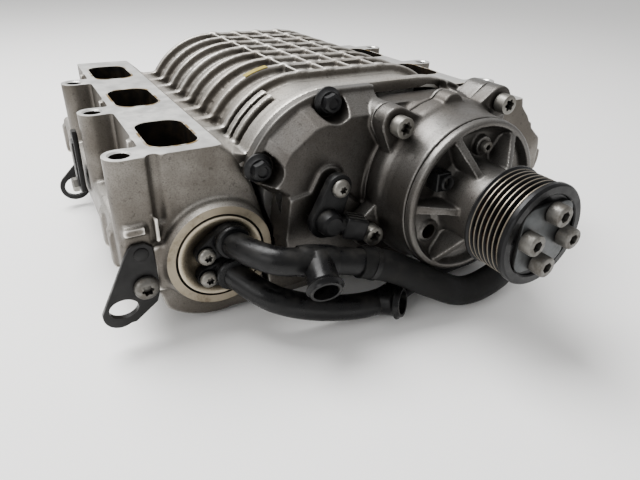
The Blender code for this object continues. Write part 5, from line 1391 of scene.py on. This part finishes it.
def make_sensor():
    """Pressure sensor: flat oval foot, round body and a plug socket turned to the right."""
    looks = finishes()
    finish = looks["nylon_dull"]
    low, high = sensor_ends()
    seat = node_box("sensor_screw")[0].y + 3.9 + 6
    sensor = prism(capsule(low, 10.6, high, 8.6, 32), seat - 6, seat, "Y", finish, "sensor", 0.9)
    heart = (low[0] + 1, 0, low[1] + 1)
    dome = [(0, seat - 14.5), (5.5, seat - 14.5), (7.4, seat - 13), (8.2, seat - 10), (8.6, seat - 5),
            (0, seat - 5)]
    unite(sensor, turned(dome, heart, steps=48, finish=finish))
    start = Vector((low[0] + 2, seat - 9, low[1] + 1))
    tip = Vector((low[0] + 22, seat - 13, low[1] - 5))
    run = (tip - start).normalized()
    unite(sensor, pipe([start, start + run * 11], 5.2, finish, "neck"))
    socket = block((-6.2, -6.8, 9), (6.2, 6.8, 24), finish, "socket", 1.4)
    for high_rib in (-3.4, 0, 3.4):
        unite(socket, block((high_rib - 0.6, -7.5, 10), (high_rib + 0.6, 7.5, 22), finish))
    cut(socket, block((-4.6, -5.2, 14), (4.6, 5.2, 26), looks["rubber"]))
    turn = run.to_track_quat("Z", "Y").to_matrix().to_4x4()
    socket.data.transform(Matrix.Translation(start - run * 1.5) @ turn)
    unite(sensor, socket)
    unite(sensor, rod(5, upright(low), seat - 2, seat + 7, finish=finish, steps=32))
    done("map_sensor", sensor, "housing", "nylon", "pressure_sensor")


def make_connector():
    """Wiring socket of the clutch coil, standing in the nose's dish."""
    looks = finishes()
    finish = looks["nylon"]
    low, high = node_box("clutch_connector")
    spot = ((low.x + high.x) / 2, (low.z + high.z) / 2)
    socket = block((low.x, low.y + 1, low.z), (high.x, high.y, high.z), finish, "socket", 1.0)
    tube = [(0, low.y - 1.5), (4.0, low.y - 1.5), (4.9, low.y - 0.6), (5.0, high.y - 1), (0, high.y - 1)]
    unite(socket, turned(tube, (spot[0] + 1.5, 0, spot[1]), steps=40, finish=finish))
    cut(socket, rod(3.7, (spot[0] + 1.5, 0, spot[1]), low.y - 3, low.y + 5, finish=looks["rubber"], steps=32))
    unite(socket, block((spot[0] + 0.9, low.y + 0.5, spot[1] - 1.6),
                        (spot[0] + 2.1, low.y + 6, spot[1] + 1.6), finish))
    done("coil_connector", socket, "housing", "nylon", "clutch_connector")


# Rear and underside

def make_rear_inlet():
    """Air inlet at the rear with the bypass passage that joins it from below."""
    looks = finishes()
    settings = bpy.context.scene.supercharger_casting
    low, high = node_box("rear_inlet_housing")
    joint, rear = low.y, high.y
    shaft = joint_place("bypass_turn")
    heart = (0, 0, axis_z)
    plate = rounded_box((0, 66.5), 56, 62, 12, 8)
    inlet = prism(plate, joint, joint + 8, "Y", looks["cast_dark"], "inlet", 1)
    unite(inlet, rod(40, heart, joint + 1, rear - 1, steps=96))
    unite(inlet, prism(rounded_box((0, axis_z), 44, 44, 10, 8), rear - 9, rear + CAST_SKIN))
    unite(inlet, rod(21.5, (0, shaft.y, 0), 7.5, axis_z - 10, "Z", 64))
    unite(inlet, block((-13, joint + 1, 7.5), (13, shaft.y, 31)))
    unite(inlet, rod(7.5, (0, shaft.y, shaft.z), -26, 26, "X", 40))
    for x in (-1, 1):
        gusset = [(x * 40, joint + 6), (x * 52, joint + 6), (x * 41, rear - 8), (x * 38, rear - 8)]
        unite(inlet, prism(gusset, axis_z - 2.5, axis_z + 2.5, "Z"))
    cast_over(inlet, settings.voxel / MM, 3, 0.5)
    hollow = rod(35, heart, joint + 8, rear + 5, finish=looks["port"], steps=96)
    unite(hollow, rod(17, (0, shaft.y, 0), 11.5, axis_z, "Z", 64, looks["port"]))
    unite(hollow, block((-26, joint - 1, 103), (26, joint + 10, 118), looks["port"]))
    unite(hollow, rod(8, (0, 0, 19), joint - 1, shaft.y, finish=looks["port"], steps=32))
    unite(hollow, rod(3.3, (0, shaft.y, shaft.z), -40, 40, "X", 24, looks["port"]))
    cut(inlet, hollow)
    cut(inlet, block((-100, rear, 0), (100, rear + 10, 160), looks["machined"]))
    for x in (-36, 36):
        for z in (axis_z - 36, axis_z + 36):
            cut(inlet, rod(3.4, (x, 0, z), rear - 12, rear + 1, finish=looks["port"], steps=24))
    done("inlet_casting", inlet, "housing", "gear_case", "rear_inlet_housing")
    low, high = node_box("bypass_actuator")
    body = block((low.x, shaft.y - 17, shaft.z - 24), (54, shaft.y + 18, shaft.z + 7), looks["nylon_dull"],
                 "actuator", 2.5)
    cut(body, rod(3.3, (0, shaft.y, shaft.z), 20, 31, "X", 24, looks["nylon_dull"]))
    unite(body, rod(13, (0, shaft.y, shaft.z - 9), 53, high.x, "X", 64, looks["nylon_dull"]))
    unite(body, block((34, shaft.y - 8, low.z), (52, shaft.y + 8, low.z + 15), looks["nylon_dull"],
                      "plug", 1.2))
    cut(body, block((36.5, shaft.y - 5.5, low.z - 1), (49.5, shaft.y + 5.5, low.z + 9), looks["rubber"]))
    done("valve_actuator", body, "housing", "nylon", "bypass_actuator")
    bolts = []
    for x in (-48, 48):
        for z in (14, 44, 82, 119):
            top = joint + 8.2
            bolts.append(prism([polar((x, z), 6.2, 60 * i + 5) for i in range(6)], top + 1.4, top + 6.5, "Y",
                               looks["black_bolt"], "bolt", 0.5))
            bolts.append(rod(7.6, (x, 0, z), top, top + 1.6, finish=looks["black_bolt"], steps=32))
    done("inlet_bolts", join("inlet_bolts", *bolts), "housing", "black_screws")


def make_base_cover():
    """Flat cover under the plenum, with its screws sunk in counterbores."""
    looks = finishes()
    low, high = node_box("base_cover")
    centre = (0, (low.y + high.y) / 2)
    outline = rounded_box(centre, high.x, (high.y - low.y) / 2, 14, 10)
    cover = prism(outline, low.z, high.z, "Z", looks["cast"], "base", 1.2, 3)
    screws = []
    for x in (-80, 80):
        for i in range(5):
            y = low.y + 12 + i * (high.y - low.y - 24) / 4
            cut(cover, rod(7.4, (x, y, 0), low.z - 1, low.z + 4, "Z", 32, looks["machined"]))
            head = [(0, low.z + 0.6), (5.6, low.z + 0.6), (6.2, low.z + 1.2), (6.2, low.z + 4.2),
                    (0, low.z + 4.2)]
            screws.append(turned(head, (x, y, 0), "Z", 32, looks["zinc"]))
    done("plenum_cover", cover, "housing", "cast_housing", "base_cover")
    done("plenum_cover_screws", join("screws", *screws), "housing", "zinc_screws")


def finish_inner_parts():
    """Give the parts that are shown as the frame has them their own finish."""
    looks = finishes()
    inner = {
        "rotor": ("drive_rotor", "driven_rotor"),
        "steel": ("drive_timing_gear", "driven_timing_gear", "front_bearing_drive", "front_bearing_driven",
                  "rear_bearing_drive", "rear_bearing_driven", "clutch_armature", "clutch_hub",
                  "nose_bearing", "pulley_shaft", "bypass_shaft", "bypass_lever"),
        "copper": ("clutch_coil",),
        "core": ("cooler_core_left", "cooler_core_right"),
        "cast_dark": ("bearing_plate",),
        "brass": ("bypass_flap",),
        "rubber": ("nose_seal",),
    }
    for finish, names in inner.items():
        for name in names:
            mesh = bpy.data.objects[name].data
            mesh.materials.clear()
            mesh.materials.append(looks[finish])


def make_paint_mark():
    """A dab of yellow inspection paint on a rib."""
    looks = finishes()
    y = joint_y + GAP + FIRST_ARCH + ARCH_PITCH
    dab = half_arch(y - 0.2, y + 5.4, crest_radius + 0.55, 0.5, 100, 116, -1)
    dab.data.materials.append(looks["paint"])
    done("paint_mark", dab, "housing", "rubber_seal")


# Studio

def make_stage():
    """Pale floor, soft overhead light, low room light and the camera."""
    stage = bpy.context.scene.supercharger_stage
    shape = bmesh.new()
    bmesh.ops.create_grid(shape, x_segments=1, y_segments=1, size=4.0)
    mesh = bpy.data.meshes.new("studio_floor")
    shape.to_mesh(mesh)
    shape.free()
    mesh.materials.append(plain_floor("studio_board", tuple(stage.floor)))
    floor = bpy.data.objects.new("studio_floor", mesh)
    bpy.context.scene.collection.objects.link(floor)
    world = bpy.data.worlds.new("studio")
    world.use_nodes = True
    sky = world.node_tree.nodes["Background"]
    sky.inputs["Color"].default_value = (1.0, 1.0, 1.0, 1.0)
    sky.inputs["Strength"].default_value = stage.sky
    bpy.context.scene.world = world
    for name, spot, aim, size, share in (("overhead", (-0.35, 0.4, 1.25), (0, 0, 0.08), 1.0, 1.0),
                                         ("side", (-1.2, -0.5, 0.7), (0, -0.05, 0.08), 0.7, 0.16)):
        lamp = bpy.data.lights.new(name, "AREA")
        lamp.shape = "DISK"
        lamp.size = size
        lamp.energy = stage.light * share
        lit = bpy.data.objects.new(name, lamp)
        lit.location = spot
        lit.rotation_euler = (Vector(aim) - Vector(spot)).to_track_quat("-Z", "Y").to_euler()
        bpy.context.scene.collection.objects.link(lit)
    eye = bpy.data.cameras.new("view")
    eye.lens = CAMERA_LENS
    eye.sensor_width = CAMERA_SENSOR
    eye.shift_x, eye.shift_y = CAMERA_SHIFT
    eye.clip_start = 0.01
    view = bpy.data.objects.new("view", eye)
    azimuth = math.radians(CAMERA_AZIMUTH)
    height = math.radians(CAMERA_HEIGHT)
    roll = math.radians(CAMERA_ROLL)
    back = Vector((math.sin(azimuth) * math.cos(height), -math.cos(azimuth) * math.cos(height),
                   math.sin(height)))
    right = (-back).cross(Vector((0, 0, 1))).normalized()
    up = right.cross(-back)
    across = right * math.cos(roll) + up * math.sin(roll)
    upward = up * math.cos(roll) - right * math.sin(roll)
    turn = Matrix((across, upward, back)).transposed().to_4x4()
    view.matrix_world = Matrix.Translation(Vector(CAMERA_PLACE) * MM) @ turn
    bpy.context.scene.collection.objects.link(view)
    bpy.context.scene.camera = view


# Add-on

class SUPERCHARGER_OT_banks(bpy.types.Operator):
    """Build both intake banks"""
    bl_idname = "supercharger.banks"
    bl_label = "Intake banks"

    def execute(self, context):
        for side in (-1, 1):
            make_bank(side)
        return {"FINISHED"}


class SUPERCHARGER_OT_rotor_case(bpy.types.Operator):
    """Build the ribbed rotor case"""
    bl_idname = "supercharger.rotor_case"
    bl_label = "Rotor case"

    def execute(self, context):
        make_rotor_case()
        make_paint_mark()
        return {"FINISHED"}


class SUPERCHARGER_OT_gear_cover(bpy.types.Operator):
    """Build the front case over the timing gears"""
    bl_idname = "supercharger.gear_cover"
    bl_label = "Gear cover"

    def execute(self, context):
        make_gear_cover()
        return {"FINISHED"}


class SUPERCHARGER_OT_drive_unit(bpy.types.Operator):
    """Build the clutch housing, the nose and the belt pulley"""
    bl_idname = "supercharger.drive_unit"
    bl_label = "Drive unit"

    def execute(self, context):
        make_drive_housing()
        make_drive_nose()
        make_connector()
        make_pulley()
        return {"FINISHED"}


class SUPERCHARGER_OT_screws(bpy.types.Operator):
    """Build every screw that is seen from the front"""
    bl_idname = "supercharger.screws"
    bl_label = "Screws"

    def execute(self, context):
        make_screws()
        return {"FINISHED"}


class SUPERCHARGER_OT_coolant(bpy.types.Operator):
    """Build the cooler caps, their seals and the coolant pipes"""
    bl_idname = "supercharger.coolant"
    bl_label = "Coolant pipes"

    def execute(self, context):
        make_coolers()
        make_pipes()
        return {"FINISHED"}


class SUPERCHARGER_OT_fittings(bpy.types.Operator):
    """Build the lifting brackets, the strap and the pressure sensor"""
    bl_idname = "supercharger.fittings"
    bl_label = "Fittings"

    def execute(self, context):
        make_brackets()
        make_sensor()
        return {"FINISHED"}


class SUPERCHARGER_OT_rear(bpy.types.Operator):
    """Build the rear inlet and the base cover, and finish the inner parts"""
    bl_idname = "supercharger.rear"
    bl_label = "Rear and underside"

    def execute(self, context):
        make_rear_inlet()
        make_base_cover()
        finish_inner_parts()
        return {"FINISHED"}


class SUPERCHARGER_OT_stage(bpy.types.Operator):
    """Set up the floor, the lights and the camera"""
    bl_idname = "supercharger.stage"
    bl_label = "Studio"

    def execute(self, context):
        make_stage()
        return {"FINISHED"}


class SUPERCHARGER_PT_sidebar(bpy.types.Panel):
    """Settings and build steps of the supercharger's looks"""
    bl_label = "Supercharger looks"
    bl_idname = "SUPERCHARGER_PT_sidebar"
    bl_space_type = "VIEW_3D"
    bl_region_type = "UI"
    bl_category = "Supercharger"

    def draw(self, context):
        for group in GROUPS:
            settings = getattr(context.scene, GROUPS[group])
            box = self.layout.box()
            for key in group.__annotations__:
                box.prop(settings, key)
        for operator in OPERATORS:
            self.layout.operator(operator.bl_idname)


GROUPS = {
    CastingSettings: "supercharger_casting",
    HardwareSettings: "supercharger_hardware",
    PlasticSettings: "supercharger_plastics",
    StageSettings: "supercharger_stage",
}
OPERATORS = (
    SUPERCHARGER_OT_banks,
    SUPERCHARGER_OT_rotor_case,
    SUPERCHARGER_OT_gear_cover,
    SUPERCHARGER_OT_drive_unit,
    SUPERCHARGER_OT_screws,
    SUPERCHARGER_OT_coolant,
    SUPERCHARGER_OT_fittings,
    SUPERCHARGER_OT_rear,
    SUPERCHARGER_OT_stage,
)


def register():
    """Make the settings, the operators and the panel known."""
    for group, key in GROUPS.items():
        bpy.utils.register_class(group)
        setattr(bpy.types.Scene, key, PointerProperty(type=group))
    for made in (*OPERATORS, SUPERCHARGER_PT_sidebar):
        bpy.utils.register_class(made)


def unregister():
    """Take them away again in the opposite order."""
    for made in (SUPERCHARGER_PT_sidebar, *reversed(OPERATORS)):
        bpy.utils.unregister_class(made)
    for group, key in GROUPS.items():
        delattr(bpy.types.Scene, key)
        bpy.utils.unregister_class(group)


def main():
    """Build everything in order."""
    register()
    bpy.ops.supercharger.banks()
    bpy.ops.supercharger.rotor_case()
    bpy.ops.supercharger.gear_cover()
    bpy.ops.supercharger.drive_unit()
    bpy.ops.supercharger.screws()
    bpy.ops.supercharger.coolant()
    bpy.ops.supercharger.fittings()
    bpy.ops.supercharger.rear()
    bpy.ops.supercharger.stage()


if __name__ == "__main__":
    main()
